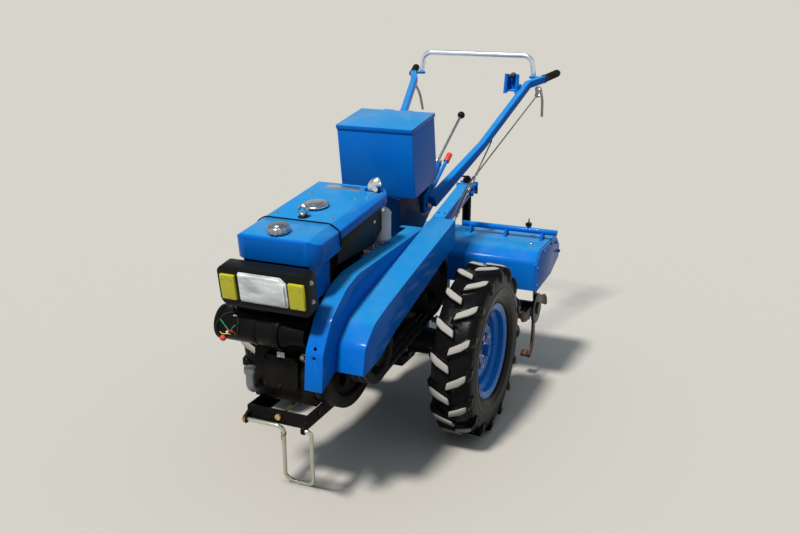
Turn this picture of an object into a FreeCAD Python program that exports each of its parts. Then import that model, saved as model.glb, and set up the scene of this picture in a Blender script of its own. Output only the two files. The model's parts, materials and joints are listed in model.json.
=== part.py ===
import FreeCAD, Part
import os
from math import sin, cos, tan, radians, atan, atan2, hypot, sqrt, pi
from FreeCAD import Vector, Rotation, Placement

# A two-wheeled walking tractor with a rotary tiller bolted on behind.
# Millimetres. While it is drawn, X runs forward from the wheel axle, Y to the
# machine's left and Z up from the ground; the last lines move the origin to the
# middle of the floor that the machine covers.

gap = 0.3                      # between pieces that seat on each other
bore_play = 0.05               # radial play of a shaft in its bore

# Driving wheels
tyre_radius = 313.0
tyre_half_width = 82.5
wheel_room = 22.5              # between a tyre and the belt guard beside it
bead_radius = 152.4
flange_radius = 173.0
rim_half_width = 58.0
rim_wall = 5.0
flange_lip = 4.0
flange_lean = 5.0              # from the flange's tip to its foot
well_radius = 136.0
disc_offset = 18.0             # of the wheel disc, outwards from the tyre's middle
lug_count = 16                 # on each side of one tyre
lug_height = 23.0
lug_width = 27.0
lug_lead = 51.0                # how far a lug's outer end lags its inner end
lug_bow = 4.0                  # of its middle
lug_phase = 18.3               # degrees
wheel_bolt_circle = 120.0
wheel_bolt_count = 5
axle_radius = 20.0
hub_radius = 40.0
hub_length = 112.0
axle_nose = 34.0               # that shows outside the wheel disc

# Frame rails and front stand
frame_front = 770.0
frame_bottom = 298.0
rail_height = 42.0
rail_wall = 7.0
rail_flange = 34.0
rail_rear = 116.0
stand_rod = 6.5
stand_axis_x = 785.0
stand_axis_z = 300.0
stand_foot_x = 612.0
stand_foot_y = (-75.0, 29.0)
stand_bar_y = (-113.0, 30.0)
stand_end_y = 124.0
draw_bolt_y = 6.0
draw_bolt_radius = 5.0

# Gearbox and axle tubes
gearbox_half_width = 97.0
gearbox_front = 112.0
gearbox_rear = -168.0
gearbox_bottom = 212.0
gearbox_top = 650.0
axle_tube_radius = 46.0
tiller_flange_half_width = 104.0
tiller_flange_wall = 18.0
tiller_flange_z = (232.0, 452.0)

# Engine
crank_x = 575.0
crank_z = 500.0
crankcase_front = 683.0
crankcase_rear = 432.0
crankcase_top = 676.0
crankcase_y = (-112.0, 96.0)
sump_front = 718.0
cylinder_rear = 236.0
head_rear = 178.0
head_top = 640.0
starter_x = 740.0
starter_z = 588.0
starter_radius = 52.0
starter_y = (-198.0, 2.0)
flywheel_radius = 188.0
flywheel_width = 52.0
flywheel_y = (crankcase_y[1] + 16, crankcase_y[1] + 16 + flywheel_width)

# Belt drive and its guards
engine_pulley_radius = 98.0
clutch_pulley_radius = 118.0
clutch_x = 110.0
clutch_z = 583.0
pulley_width = 68.0
clutch_shaft_radius = 18.0
belt_count = 3
belt_width = 15.0
belt_depth = 10.0
belt_proud = 3.0
guard_wall = 3.0
guard_room = 11.0              # beside the flywheel and beside the pulleys
guard_inner_y = flywheel_y[0] + 6
guard_step_y = flywheel_y[1] + guard_room
pulley_y = (guard_step_y + 9, guard_step_y + 9 + pulley_width)
guard_outer_y = pulley_y[1] + guard_room + 2
track = 2 * (guard_outer_y + wheel_room + tyre_half_width)

# Tank, radiator and lamp
seam_x = 616.0
seam_z = 894.0
seam_gap = 5.0
hood_slope = 7.1               # degrees, rising to the rear
hood_flat_half = 110.0
hood_half = 141.0
shoulder_drop = 20.0
tank_length = 364.0
radiator_length = 143.0
hood_rear_corner = 40.0        # the rear corners of the tank in plan
hood_front_corner = 46.0
hood_end_round = 26.0          # of the top into both ends
hood_skirt = 26.0
front_skirt = 58.0
core_half_width = 108.0
core_head_half = 127.0         # its upper part, close under the tank
core_head_z = 768.0
core_foot_x = 388.0            # rear end of the part that stands on the engine
fuel_cap_x = 498.0
fuel_cap_radius = 41.0
radiator_cap_x = 722.0
radiator_cap_radius = 33.0
radiator_cap_height = 25.0
radiator_cap_notches = 12
eye_x = 585.0
eye_y = 5.0
eye_radius = 18.0
eye_hole = 9.5
eye_thickness = 10.0
muffler_x = 258.0
muffler_y = 112.0
muffler_radius = 31.0
muffler_height = 132.0
muffler_top = 884.0
exhaust_x = 297.0              # of the bright pipe's upright stretch
exhaust_y = 98.0
tip_radius = 17.0
tip_wall = 2.5
tip_rise = 66.0                # from the muffler's top to the pipe's knee
tip_bend = 20.0
tip_end = (-7.0, 21.0, 9.0)    # from the knee to the mouth
tip_play = 10.0                # round the pipe in the tank's hole
lamp_front = 828.0
lamp_depth = 52.0
lamp_half_width = 148.0
lamp_z = (670.0, 796.0)
lamp_pitch = 9.0               # degrees, its face looks a little down
lens_half_width = 80.0
lens_z = (690.0, 783.0)
indicator_y = (88.0, 137.0)
indicator_z = (694.0, 772.0)

# Tool box
box_front_x = 85.0
box_lid_z = 1097.0
box_pitch = 9.0                # degrees, front end low
box_length = 208.0
box_width = 284.0
box_height = 246.0
box_wall = 2.0
lid_lap = 3.0
lid_lip = 12.0

# Handlebars and controls
post_half_width = 84.0
post_wall = 6.0
post_front = 62.0
post_rear = -262.0
handle_foot = (-190.0, 112.0, 790.0)
handle_knee = (-530.0, 190.0, 955.0)
handle_bend = (-905.0, 261.0, 1161.0)
grip_start = (-992.0, 304.7, 1178.0)
grip_end = (-1110.0, 338.0, 1197.0)
handle_low = (34.0, 44.0)      # width and height of the bar's section
handle_mid = (27.0, 31.0)
handle_high = (27.0, 30.0)
grip_radius = 15.5
grip_collar = 3.0
side_lever_root = (-236.0, 72.0, 778.0)
side_lever_end = (-420.0, 92.0, 925.0)
side_lever_radius = 7.0
side_grip_radius = 11.5
side_grip_length = 40.0
hoop_radius = 10.5
hoop_top = (-985.0, 250.0, 1275.0)
hoop_foot = (-990.0, 258.0, 1190.0)
hoop_bend = 42.0
clutch_lever_at = (-858.0, 185.0, 1146.0)
control_rod_radius = 3.0
brake_rod_top = (-600.0, 207.0, 964.0)
gear_root = (-140.0, 18.0, 583.0)
gear_knee = (-404.0, 50.0, 900.0)
gear_knob = (-598.0, 74.0, 1059.0)
gear_dome = 0.11               # share of the tube that the gearbox's collar covers
gear_tube_radius = 19.0
gear_stick_radius = 5.5
gear_knob_radius = 15.0

# Rotary tiller and tail wheel
rotor_x = -552.0
rotor_z = 296.0
tine_radius = 208.0
rotor_half_width = 452.0
rotor_shaft_radius = 26.0
rotor_stations = 4             # sets of tines on each side
tines_per_station = 4
tine_thickness = 7.0
hood_end_y = 480.0
hood_front = -345.0
hood_rear = -700.0
hood_lower = 438.0
hood_sheet = 4.0
hood_top = 592.0
beam_x = -545.0
beam_z = 624.0
beam_radius = 11.5
beam_y = (112.0, 508.0)
tail_post_x = -908.0
tail_post_radius = 20.0
tail_post_top = 732.0
tail_clamp_z = (661.0, 715.0)
tail_clamp_half = 40.0
tail_wheel_radius = 120.0
tail_wheel_half_width = 30.0
tail_trail = 40.0

pieces = {}


def box(x, y, z):
    return Part.makeBox(x[1] - x[0], y[1] - y[0], z[1] - z[0], Vector(x[0], y[0], z[0]))


def rod(start, end, radius):
    start, end = Vector(*start), Vector(*end)
    return Part.makeCylinder(radius, (end - start).Length, start, end - start)


def across(x, z, y, radius):
    return rod((x, y[0], z), (x, y[1], z), radius)


def upright(x, y, z, radius):
    return rod((x, y, z[0]), (x, y, z[1]), radius)


def fused(*solids):
    return solids[0].multiFuse(list(solids[1:])).removeSplitter()


def mirrored(shape):
    # The machine's right-hand twin of a left-hand piece
    return shape.mirror(Vector(0, 0, 0), Vector(0, 1, 0))


def both(shape):
    return Part.makeCompound([shape, mirrored(shape)])


def corner_edges(points, closed=True):
    # Points are (position, radius); a radius rounds that corner with a tangent arc
    count = len(points)
    spots = [Vector(*p[0]) for p in points]
    stops = []
    for i, (_, radius) in enumerate(points):
        here = spots[i]
        if radius <= 0 or (not closed and i in (0, count - 1)):
            stops.append((here, None, here))
            continue
        back = (spots[i - 1] - here).normalize()
        ahead = (spots[(i + 1) % count] - here).normalize()
        half = back.getAngle(ahead) / 2
        reach = radius / tan(half)
        middle = (back + ahead).normalize()
        peak = here + middle * (radius / sin(half) - radius)
        stops.append((here + back * reach, peak, here + ahead * reach))
    edges = []
    for i in range(count if closed else count - 1):
        after = (i + 1) % count
        if stops[i][1] is not None:
            edges.append(Part.Arc(*stops[i]).toShape())
        if (stops[after][0] - stops[i][2]).Length > 1e-6:
            edges.append(Part.LineSegment(stops[i][2], stops[after][0]).toShape())
    return edges


def side_face(points):
    # (x, z, radius) corners in the upright plane that runs fore and aft
    return Part.Face(Part.Wire(corner_edges([((x, 0, z), r) for x, z, r in points])))


def side_slab(points, y):
    return side_face(points).translate(Vector(0, y[0], 0)).extrude(Vector(0, y[1] - y[0], 0))


def front_slab(points, x):
    # (y, z, radius) corners in the upright plane that runs across
    face = Part.Face(Part.Wire(corner_edges([((x[0], y, z), r) for y, z, r in points])))
    return face.extrude(Vector(x[1] - x[0], 0, 0))


def plan_slab(points, z):
    # (x, y, radius) corners in plan
    face = Part.Face(Part.Wire(corner_edges([((x, y, z[0]), r) for x, y, r in points])))
    return face.extrude(Vector(0, 0, z[1] - z[0]))


def turned(profile, x, y, z):
    # (radius, y) corners turned about the crosswise axis through x, z
    wire = Part.makePolygon([Vector(r, w, 0) for r, w in profile + profile[:1]])
    return Part.Face(wire).revolve(Vector(0, 0, 0), Vector(0, 1, 0), 360).translate(Vector(x, y, z))


def turned_up(profile, x, y):
    # (radius, z) corners turned about the upright axis through x, y
    wire = Part.makePolygon([Vector(r, 0, h) for r, h in profile + profile[:1]])
    return Part.Face(wire).revolve(Vector(0, 0, 0), Vector(0, 0, 1), 360).translate(Vector(x, y, 0))


def bent_rod(points, radius):
    # (x, y, z, bend radius) stops of a round bar
    edges = corner_edges([(p[:3], p[3]) for p in points], closed=False)
    path = Part.Wire(edges)
    start, ahead = Vector(*points[0][:3]), Vector(*points[1][:3])
    ring = Part.Wire([Part.makeCircle(radius, start, ahead - start)])
    return path.makePipeShell([ring], True, True)


def offset_line(points, distance):
    # The same corners moved to the right-hand side of the way the line runs
    moved = []
    for i, (x, z, radius) in enumerate(points):
        normals = []
        for a, b in ((i - 1, i), (i, i + 1)):
            if a >= 0 and b < len(points):
                dx, dz = points[b][0] - points[a][0], points[b][1] - points[a][1]
                length = hypot(dx, dz)
                normals.append((dz / length, -dx / length))
        nx, nz = sum(n[0] for n in normals), sum(n[1] for n in normals)
        size = hypot(nx, nz)
        nx, nz = nx / size, nz / size
        spread = nx * normals[0][0] + nz * normals[0][1]
        moved.append((x + nx * distance / spread, z + nz * distance / spread, radius))
    return moved


def strip(points, thickness, y):
    # A bent sheet that follows the line, its outer face on the line
    inner = offset_line(points, -thickness)
    inner = [(x, z, max(r - thickness, 0)) for x, z, r in inner]
    return side_slab(points + inner[::-1], y)


def wheel_tyre(y):
    crown = tyre_radius - lug_height
    shoulder = crown - 12
    half = tyre_half_width - 6
    seat = bead_radius + gap
    bead = rim_half_width - flange_lip - gap
    outer = [Vector(seat, -bead + flange_lean, 0), Vector(flange_radius + gap, -bead, 0)]
    outer.append(Vector(flange_radius + 2, -rim_half_width - 4, 0))
    wall_low, wall_mid = outer[2], Vector(0.5 * (flange_radius + shoulder), -half, 0)
    wall_top = Vector(shoulder, -half + 8, 0)
    tread_edge = Vector(crown - 2, -half + 26, 0)
    flip = lambda v: Vector(v.x, -v.y, 0)
    edges = [Part.LineSegment(outer[0], outer[1]), Part.LineSegment(outer[1], outer[2]),
             Part.Arc(wall_low, wall_mid, wall_top), Part.LineSegment(wall_top, tread_edge),
             Part.Arc(tread_edge, Vector(crown, 0, 0), flip(tread_edge)),
             Part.LineSegment(flip(tread_edge), flip(wall_top)),
             Part.Arc(flip(wall_top), flip(wall_mid), flip(wall_low)),
             Part.LineSegment(flip(outer[2]), flip(outer[1])), Part.LineSegment(flip(outer[1]), flip(outer[0])),
             Part.LineSegment(flip(outer[0]), outer[0])]
    carcass = Part.Face(Part.Wire([e.toShape() for e in edges])).revolve(Vector(), Vector(0, 1, 0), 360)
    lugs = []
    reach = tyre_half_width - 3
    half_lug, half_lead = lug_width / 2, lug_lead / 2
    # the flat tip of a lug lies a little inside the circle that its corners touch
    tip = sqrt(tyre_radius ** 2 - (half_lead + half_lug) ** 2)
    lead_angle = lug_lead / 2 / tyre_radius * 180 / pi
    for side, phase in ((1, lug_phase + lead_angle), (-1, lug_phase + lead_angle - 180 / lug_count)):
        # the bar's plan: out from just past the middle, then across the shoulder
        plan = [(-6, -half_lead - half_lug), (reach * 0.5, -lug_bow - half_lug), (reach, half_lead - half_lug),
                (reach, half_lead + half_lug), (reach * 0.45, half_lug - lug_bow), (-2, half_lug - half_lead)]
        wire = Part.makePolygon([Vector(bead_radius, side * w, s) for w, s in plan + plan[:1]])
        bar = Part.Face(wire).extrude(Vector(tyre_radius, 0, 0))
        # its section: full height on the tread, falling away over the shoulder
        section = [(crown - 14, -8), (tip, -8), (tip, reach * 0.62), (tip - 7, reach * 0.86),
                   (tip - 27, reach), (shoulder - 24, reach - 2), (shoulder - 8, half - 14)]
        wire = Part.makePolygon([Vector(r, side * w, -2 * lug_lead) for r, w in section + section[:1]])
        envelope = Part.Face(wire).extrude(Vector(0, 0, 4 * lug_lead))
        lug = bar.common(envelope)
        for k in range(lug_count):
            turn = lug.copy()
            turn.rotate(Vector(), Vector(0, -1, 0), phase + k * 360 / lug_count)
            lugs.append(turn)
    return carcass.multiFuse(lugs).translate(Vector(0, y, tyre_radius))


def wheel_rim(y):
    w, seat, well = rim_half_width, bead_radius, well_radius
    foot = flange_lip + flange_lean
    outer = [(flange_radius, -w), (flange_radius, -w + flange_lip), (seat, -w + foot), (seat, -w + 28),
             (well, -w + 38)]
    inner = [(well - rim_wall, -w + 36), (seat - rim_wall, -w + 26), (seat - rim_wall, -w + 5),
             (flange_radius - rim_wall, -w)]
    ring = outer + [(r, -v) for r, v in outer[::-1]] + [(r, -v) for r, v in inner[::-1]] + inner
    shell = turned(ring, 0, 0, 0)
    weld = well - rim_wall + 1
    disc = turned([(weld, 2), (weld, 8), (104, disc_offset + 4), (88, disc_offset + 4), (80, disc_offset),
                   (axle_radius + 9, disc_offset), (axle_radius + 9, disc_offset - 5), (84, disc_offset - 5),
                   (90, disc_offset - 2), (102, disc_offset - 2)], 0, 0, 0)
    wheel = fused(shell, disc)
    for k in range(wheel_bolt_count):
        angle = 2 * pi * k / wheel_bolt_count
        spot = Vector(wheel_bolt_circle / 2 * cos(angle), 0, wheel_bolt_circle / 2 * sin(angle))
        hole = Part.makeCylinder(7, 40, spot + Vector(0, disc_offset - 20, 0), Vector(0, 1, 0))
        wheel = wheel.cut(hole)
    return wheel.translate(Vector(0, y, tyre_radius))


def wheel_hub(y):
    seat = disc_offset - 5 - gap
    body = turned([(axle_radius, seat - hub_length), (hub_radius, seat - hub_length), (hub_radius, seat - 40),
                   (hub_radius + 10, seat - 14), (78, seat - 12), (78, seat), (axle_radius + 8, seat),
                   (axle_radius + 8, seat + 14), (axle_radius, seat + 14)], 0, 0, 0)
    parts = [body]
    for k in range(wheel_bolt_count):
        angle = 2 * pi * k / wheel_bolt_count
        spot = Vector(wheel_bolt_circle / 2 * cos(angle), 0, wheel_bolt_circle / 2 * sin(angle))
        parts.append(Part.makeCylinder(6, 26, spot + Vector(0, seat - 6, 0), Vector(0, 1, 0)))
        nut = Part.Face(Part.makePolygon([Vector(10 * cos(pi * s / 3), 0, 10 * sin(pi * s / 3)) for s in range(7)]))
        nut.translate(spot + Vector(0, disc_offset + gap, 0))
        parts.append(nut.extrude(Vector(0, 9, 0)))
    return fused(*parts).translate(Vector(0, y, tyre_radius))


def make_wheels():
    half_track = track / 2
    for name, make in (("tyre", wheel_tyre), ("rim", wheel_rim), ("hub", wheel_hub)):
        left = make(half_track)
        pieces[name + "_left"] = left
        pieces[name + "_right"] = mirrored(left)


def make_axle_tubes():
    hub_inner = track / 2 + disc_offset - 5 - gap - hub_length
    end = hub_inner - gap
    start = gearbox_half_width + gap
    tube = turned([(0, start), (axle_tube_radius + 26, start), (axle_tube_radius + 26, start + 16),
                   (axle_tube_radius + 6, start + 24), (axle_tube_radius, end - 60), (axle_tube_radius, end),
                   (axle_radius - bore_play, end), (axle_radius - bore_play, hub_inner + hub_length + axle_nose),
                   (0, hub_inner + hub_length + axle_nose)], 0, 0, tyre_radius)
    pieces["axle_left"] = tube
    pieces["axle_right"] = mirrored(tube)


def make_frame():
    x0, x1 = rail_rear, frame_front
    z0, z1 = frame_bottom, frame_bottom + rail_height
    y1 = gearbox_half_width + gap + rail_wall
    y0 = y1 - rail_flange
    rail = fused(box((x0, x1), (y1 - rail_wall, y1), (z0, z1)), box((x0, x1), (y0, y1), (z0, z0 + rail_wall)))
    lug = side_slab([(gearbox_front - 30, z0, 6), (gearbox_front + 90, z0, 6), (gearbox_front + 90, z1, 6),
                     (gearbox_front + 40, z1 + 60, 20), (gearbox_front - 30, z1 + 60, 12)], (y1 - rail_wall, y1))
    front = front_slab([(-y1, z0, 5), (y1, z0, 5), (y1, z1, 12), (-y1, z1, 12)], (x1 - 10, x1))
    cross = box((crankcase_rear - 40, crankcase_rear - 10), (-y1, y1), (z0, z0 + rail_wall))
    frame = fused(rail, mirrored(rail), front, cross, lug, mirrored(lug))
    hole = rod((x1 - 20, draw_bolt_y, z0 + 24), (x1 + 10, draw_bolt_y, z0 + 24), draw_bolt_radius + gap)
    eyes = []
    for y in (5 - y1, y1 - 5):
        eyes.append(side_slab([(x1 - 8, z0, 0), (stand_axis_x - 4, stand_axis_z - 11, 6),
                               (stand_axis_x + 11, stand_axis_z - 11, 10), (stand_axis_x + 11, stand_axis_z + 12, 10),
                               (x1 - 8, z0 + 30, 0)], (y - 5, y + 5)))
    frame = fused(frame.cut(hole), *eyes)
    bore = across(stand_axis_x, stand_axis_z, (-y1 - 20, y1 + 20), stand_rod + bore_play)
    pieces["frame"] = frame.cut(bore)
    head = Part.Face(Part.makePolygon([Vector(x1 + gap, draw_bolt_y + 10.5 * cos(pi * s / 3),
                                              z0 + 24 + 10.5 * sin(pi * s / 3)) for s in range(7)]))
    shaft = rod((x1 + gap, draw_bolt_y, z0 + 24), (x1 - 118, draw_bolt_y, z0 + 24), draw_bolt_radius)
    pieces["draw_bolt"] = fused(head.extrude(Vector(8, 0, 0)), shaft)


def make_stand():
    foot_z = stand_rod
    near, far = stand_foot_y
    axis_x, axis_z, x = stand_axis_x, stand_axis_z, stand_foot_x
    path = [(axis_x, stand_bar_y[0], axis_z, 0), (axis_x, stand_bar_y[1], axis_z, 20),
            (x, near, foot_z, 34), (x, far, foot_z, 34), (axis_x, stand_end_y, axis_z, 12),
            (axis_x, stand_end_y - 34, axis_z, 0)]
    pieces["stand"] = bent_rod(path, stand_rod)


def make_gearbox():
    f, r, lo, hi = gearbox_front, gearbox_rear, gearbox_bottom, gearbox_top
    half = gearbox_half_width
    case = side_slab([(r, lo + 40, 20), (-70, lo, 60), (70, lo, 60), (f, tyre_radius, 30), (f + 48, clutch_z - 60, 40),
                      (f + 48, clutch_z + 44, 40), (f - 40, hi, 30), (r + 48, hi, 26), (r, 520, 20)], (-half, half))
    rib = side_slab([(r + 20, lo + 66, 30), (30, lo + 30, 60), (f - 60, 500, 60), (r + 40, 560, 40)],
                    (-half - 9, half + 9))
    flange = front_slab([(-tiller_flange_half_width, tiller_flange_z[0], 16),
                         (tiller_flange_half_width, tiller_flange_z[0], 16),
                         (tiller_flange_half_width, tiller_flange_z[1], 16),
                         (-tiller_flange_half_width, tiller_flange_z[1], 16)], (r - tiller_flange_wall, r + 4))
    bearing = turned([(0, 0), (62, 0), (62, 40), (44, 48), (44, 60), (0, 60)], clutch_x, half, clutch_z)
    shaft = across(clutch_x, clutch_z, (half + 60, pulley_y[1] - 2), clutch_shaft_radius)
    dome = rod(gear_root, between(gear_root, gear_knee, gear_dome), 32)
    block = fused(case, rib, flange, bearing, shaft, dome)
    relief = []
    for side in (-1, 1):
        spot = half * side + (9 if side > 0 else -9)
        relief.append(rod((0, spot, tyre_radius), (0, half * side, tyre_radius), axle_tube_radius + 27))
    pieces["gearbox"] = block.cut(relief[0]).cut(relief[1])


def make_engine():
    y0, y1 = crankcase_y
    top, bottom = crankcase_top, frame_bottom + rail_height + gap
    case = side_slab([(crankcase_rear, bottom, 0), (sump_front - 10, bottom, 14), (sump_front, 440, 30),
                      (crankcase_front, 520, 12), (crankcase_front, top, 34), (crankcase_rear + 30, top, 26),
                      (crankcase_rear, 620, 12)], (y0, y1))
    hollow = side_slab([(crankcase_rear + 26, bottom + 24, 10), (sump_front - 40, bottom + 24, 10),
                        (crankcase_front - 22, top - 24, 10), (crankcase_rear + 40, top - 24, 10)],
                       (y0 + 16, y1 - 16))
    cover = side_slab([(crankcase_rear + 30, bottom + 30, 40), (crankcase_front - 14, bottom + 30, 40),
                       (crankcase_front - 14, top - 40, 60), (crankcase_rear + 30, top - 40, 60)], (y0 - 22, y0 + 2))
    barrel = side_slab([(cylinder_rear, 396, 16), (crankcase_rear + 4, 380, 0), (crankcase_rear + 4, 628, 0),
                        (cylinder_rear, 616, 16)], (y0 + 22, y1 - 10))
    head = side_slab([(head_rear + 20, 392, 12), (cylinder_rear + 2, 388, 0), (cylinder_rear + 2, head_top, 0),
                      (head_rear + 20, head_top, 12)], (y0 + 14, y1))
    rocker = side_slab([(head_rear, 430, 24), (head_rear + 24, 420, 0), (head_rear + 24, 610, 0),
                        (head_rear, 600, 24)], (y0 + 26, y1 - 12))
    boss = across(crank_x, crank_z, (y1 - 2, flywheel_y[0] - gap), 46)
    window = front_slab([(-70, 392, 14), (52, 392, 14), (52, 500, 14), (-70, 500, 14)],
                        (crankcase_front - 4, sump_front + 12))
    pieces["engine"] = fused(case.cut(hollow), cover, barrel, head, rocker, boss, window)
    x, y, z = sump_front + 40, y0 + 16, 384
    pipe = bent_rod([(sump_front - 4, y, z, 0), (x, y, z, 26), (x, y, z + 64, 0)], 14)
    cap = upright(x, y, (z + 58, z + 76), 19)
    pieces["oil_filler"] = fused(pipe, cap)


def make_starter():
    a, b = starter_y
    r = starter_radius
    body = turned([(0, a), (r - 12, a), (r - 3, a + 8), (r, a + 26), (r, b), (r + 4, b), (r + 4, b + 22),
                   (r - 4, b + 24), (r - 14, b + 52), (r - 18, b + 98), (0, b + 98)], starter_x, 0, starter_z)
    saddle = side_slab([(crankcase_front + gap, starter_z - 46, 6), (starter_x, starter_z - 46, 0),
                        (starter_x, starter_z + 40, 0), (crankcase_front + gap, starter_z + 40, 6)],
                       (b - 4, b + 20))
    relay = across(starter_x + 4, starter_z + r + 10, (a + 66, b - 30), 15)
    pieces["starter"] = fused(body, saddle, relay)


def racetrack(extra):
    # The closed line round both pulleys, a distance outside their rims
    r1, r2 = engine_pulley_radius + extra, clutch_pulley_radius + extra
    dx, dz = clutch_x - crank_x, clutch_z - crank_z
    span = hypot(dx, dz)
    line = atan2(dz, dx)
    lean = pi / 2 + atan((r2 - r1) / span) if r2 != r1 else pi / 2
    def spot(cx, cz, r, angle):
        return Vector(cx + r * cos(angle), 0, cz + r * sin(angle))
    up, down = line - lean, line + lean
    a, b = spot(crank_x, crank_z, r1, up), spot(clutch_x, clutch_z, r2, up)
    c, d = spot(clutch_x, clutch_z, r2, down), spot(crank_x, crank_z, r1, down)
    far, near = spot(clutch_x, clutch_z, r2, line), spot(crank_x, crank_z, r1, line + pi)
    return Part.Face(Part.Wire([Part.LineSegment(a, b).toShape(), Part.Arc(b, far, c).toShape(),
                                Part.LineSegment(c, d).toShape(), Part.Arc(d, near, a).toShape()]))


def make_belt_drive():
    y0, y1 = pulley_y
    pitch = (y1 - y0) / belt_count
    for name, x, z, radius in (("engine_pulley", crank_x, crank_z, engine_pulley_radius),
                               ("clutch_pulley", clutch_x, clutch_z, clutch_pulley_radius)):
        bore = clutch_shaft_radius + bore_play if name == "clutch_pulley" else 0
        profile = [(bore, y0), (radius, y0)]
        floor = radius - belt_depth + belt_proud - gap
        for k in range(belt_count):
            left = y0 + pitch * k + (pitch - belt_width) / 2 - gap
            profile += [(radius, left), (floor, left), (floor, left + belt_width + 2 * gap),
                        (radius, left + belt_width + 2 * gap)]
        profile += [(radius, y1), (radius - 26, y1), (radius - 34, y1 - 26), (52, y1 - 26), (44, y1 - 2), (bore, y1 - 2)]
        wheel = turned(profile, x, 0, z)
        if name == "engine_pulley":
            wheel = fused(wheel, across(x, z, (flywheel_y[1] + gap, y0 + 2), 60))
        pieces[name] = wheel
    outer, inner = racetrack(belt_proud), racetrack(belt_proud - belt_depth)
    belts = []
    for k in range(belt_count):
        start = y0 + pitch * k + (pitch - belt_width) / 2
        loop = outer.extrude(Vector(0, belt_width, 0)).cut(inner.extrude(Vector(0, belt_width, 0)))
        belts.append(loop.translate(Vector(0, start, 0)))
    pieces["belts"] = Part.makeCompound(belts)
    a, b = flywheel_y
    r = flywheel_radius
    wheel = turned([(0, a), (52, a), (60, a + 14), (r - 44, a + 14), (r - 36, a), (r, a), (r, b), (r - 36, b),
                    (r - 44, b - 14), (60, b - 14), (52, b), (0, b)], crank_x, 0, crank_z)
    for k in range(6):
        angle = pi * k / 3
        wheel = wheel.cut(across(crank_x + 100 * cos(angle), crank_z + 100 * sin(angle), (a - 5, b + 5), 25))
    pieces["flywheel"] = wheel


def make_guards():
    # Outer lines, from the low front end up and back; each corner is given from the
    # crankshaft or the clutch shaft that it goes round, and the last value is the bend
    def line(*corners):
        centres = {"crank": (crank_x, crank_z), "clutch": (clutch_x, clutch_z)}
        return [(centres[c][0] + dx, centres[c][1] + dz, bend) for c, dx, dz, bend in corners]
    wheel_line = line(("crank", 231, -54, 0), ("crank", 219, 60, 60), ("crank", 161, 150, 90),
                      ("crank", 65, 212, 120), ("crank", -15, 234, 160), ("clutch", -68, 169, 0))
    belt_line = line(("crank", 148, -19, 0), ("crank", 129, 63, 44), ("crank", 65, 114, 80),
                     ("crank", -27, 141, 200), ("clutch", 270, 98, 0), ("clutch", -142, 189, 0))
    low_line = line(("clutch", -142, 101, 0), ("clutch", 77, 39, 60), ("crank", -88, 40, 120),
                    ("crank", 32, -10, 60), ("crank", 144, -24, 0))
    t = guard_wall
    edge = offset_line(belt_line, -t - gap)
    edge = [(x, z, max(r - t - gap, 0)) for x, z, r in edge]
    wall = side_slab(wheel_line + edge[::-1][1:], (guard_step_y - t, guard_step_y))
    rim = strip(wheel_line, t, (guard_inner_y, guard_step_y))
    # two ears carry it: one on the radiator's side, one on the handlebars' post
    peak, end = wheel_line[-2], wheel_line[-1]
    def ear(x, y):
        heights = [peak[1] + (end[1] - peak[1]) * (spot - peak[0]) / (end[0] - peak[0]) for spot in x]
        return strip([(x[1], heights[1], 0), (x[0], heights[0], 0)], t, (y, guard_inner_y + 1))
    front_ear = ear((core_foot_x + 3, core_foot_x + 23), core_half_width + gap)
    rear_ear = ear((end[0], end[0] + 20), post_half_width + post_wall + gap)
    guard = fused(rim, wall, front_ear, rear_ear)
    middle = (guard_inner_y + guard_step_y) / 2
    for rise in (44, 70):
        z = crank_z + rise
        guard = guard.cut(rod((crank_x + flywheel_radius, middle, z), (crank_x + 290, middle, z), 5.5))
    pieces["flywheel_guard"] = guard
    rim = strip(belt_line, t, (guard_step_y + gap, guard_outer_y))
    wall = side_slab(belt_line + low_line, (guard_outer_y - t, guard_outer_y))
    tail_x, tail_z = belt_line[-1][0], belt_line[-1][1]
    tail = side_slab([(tail_x, tail_z, 0), (tail_x, tail_z - 72, 0), (tail_x + t, tail_z - 72, 0),
                      (tail_x + t, tail_z - 1, 0)], (guard_step_y + gap, guard_outer_y))
    pieces["belt_guard"] = fused(rim, wall, tail)


def hood_section(x, skirt, inset=0.0):
    a, b = hood_flat_half - inset, hood_half - inset
    return [(-b, seam_z - shoulder_drop - skirt, 0), (b, seam_z - shoulder_drop - skirt, 0),
            (b, seam_z - shoulder_drop - inset, 7), (a, seam_z - inset, 16), (-a, seam_z - inset, 16),
            (-b, seam_z - shoulder_drop - inset, 7)]


def sloped(shape):
    shape.rotate(Vector(seam_x, 0, seam_z), Vector(0, 1, 0), hood_slope)
    return shape


def hood_point(ahead, below):
    # A spot given along the hood from its seam and square to it downwards
    a = radians(hood_slope)
    return seam_x + ahead * cos(a) - below * sin(a), seam_z - ahead * sin(a) - below * cos(a)


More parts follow.
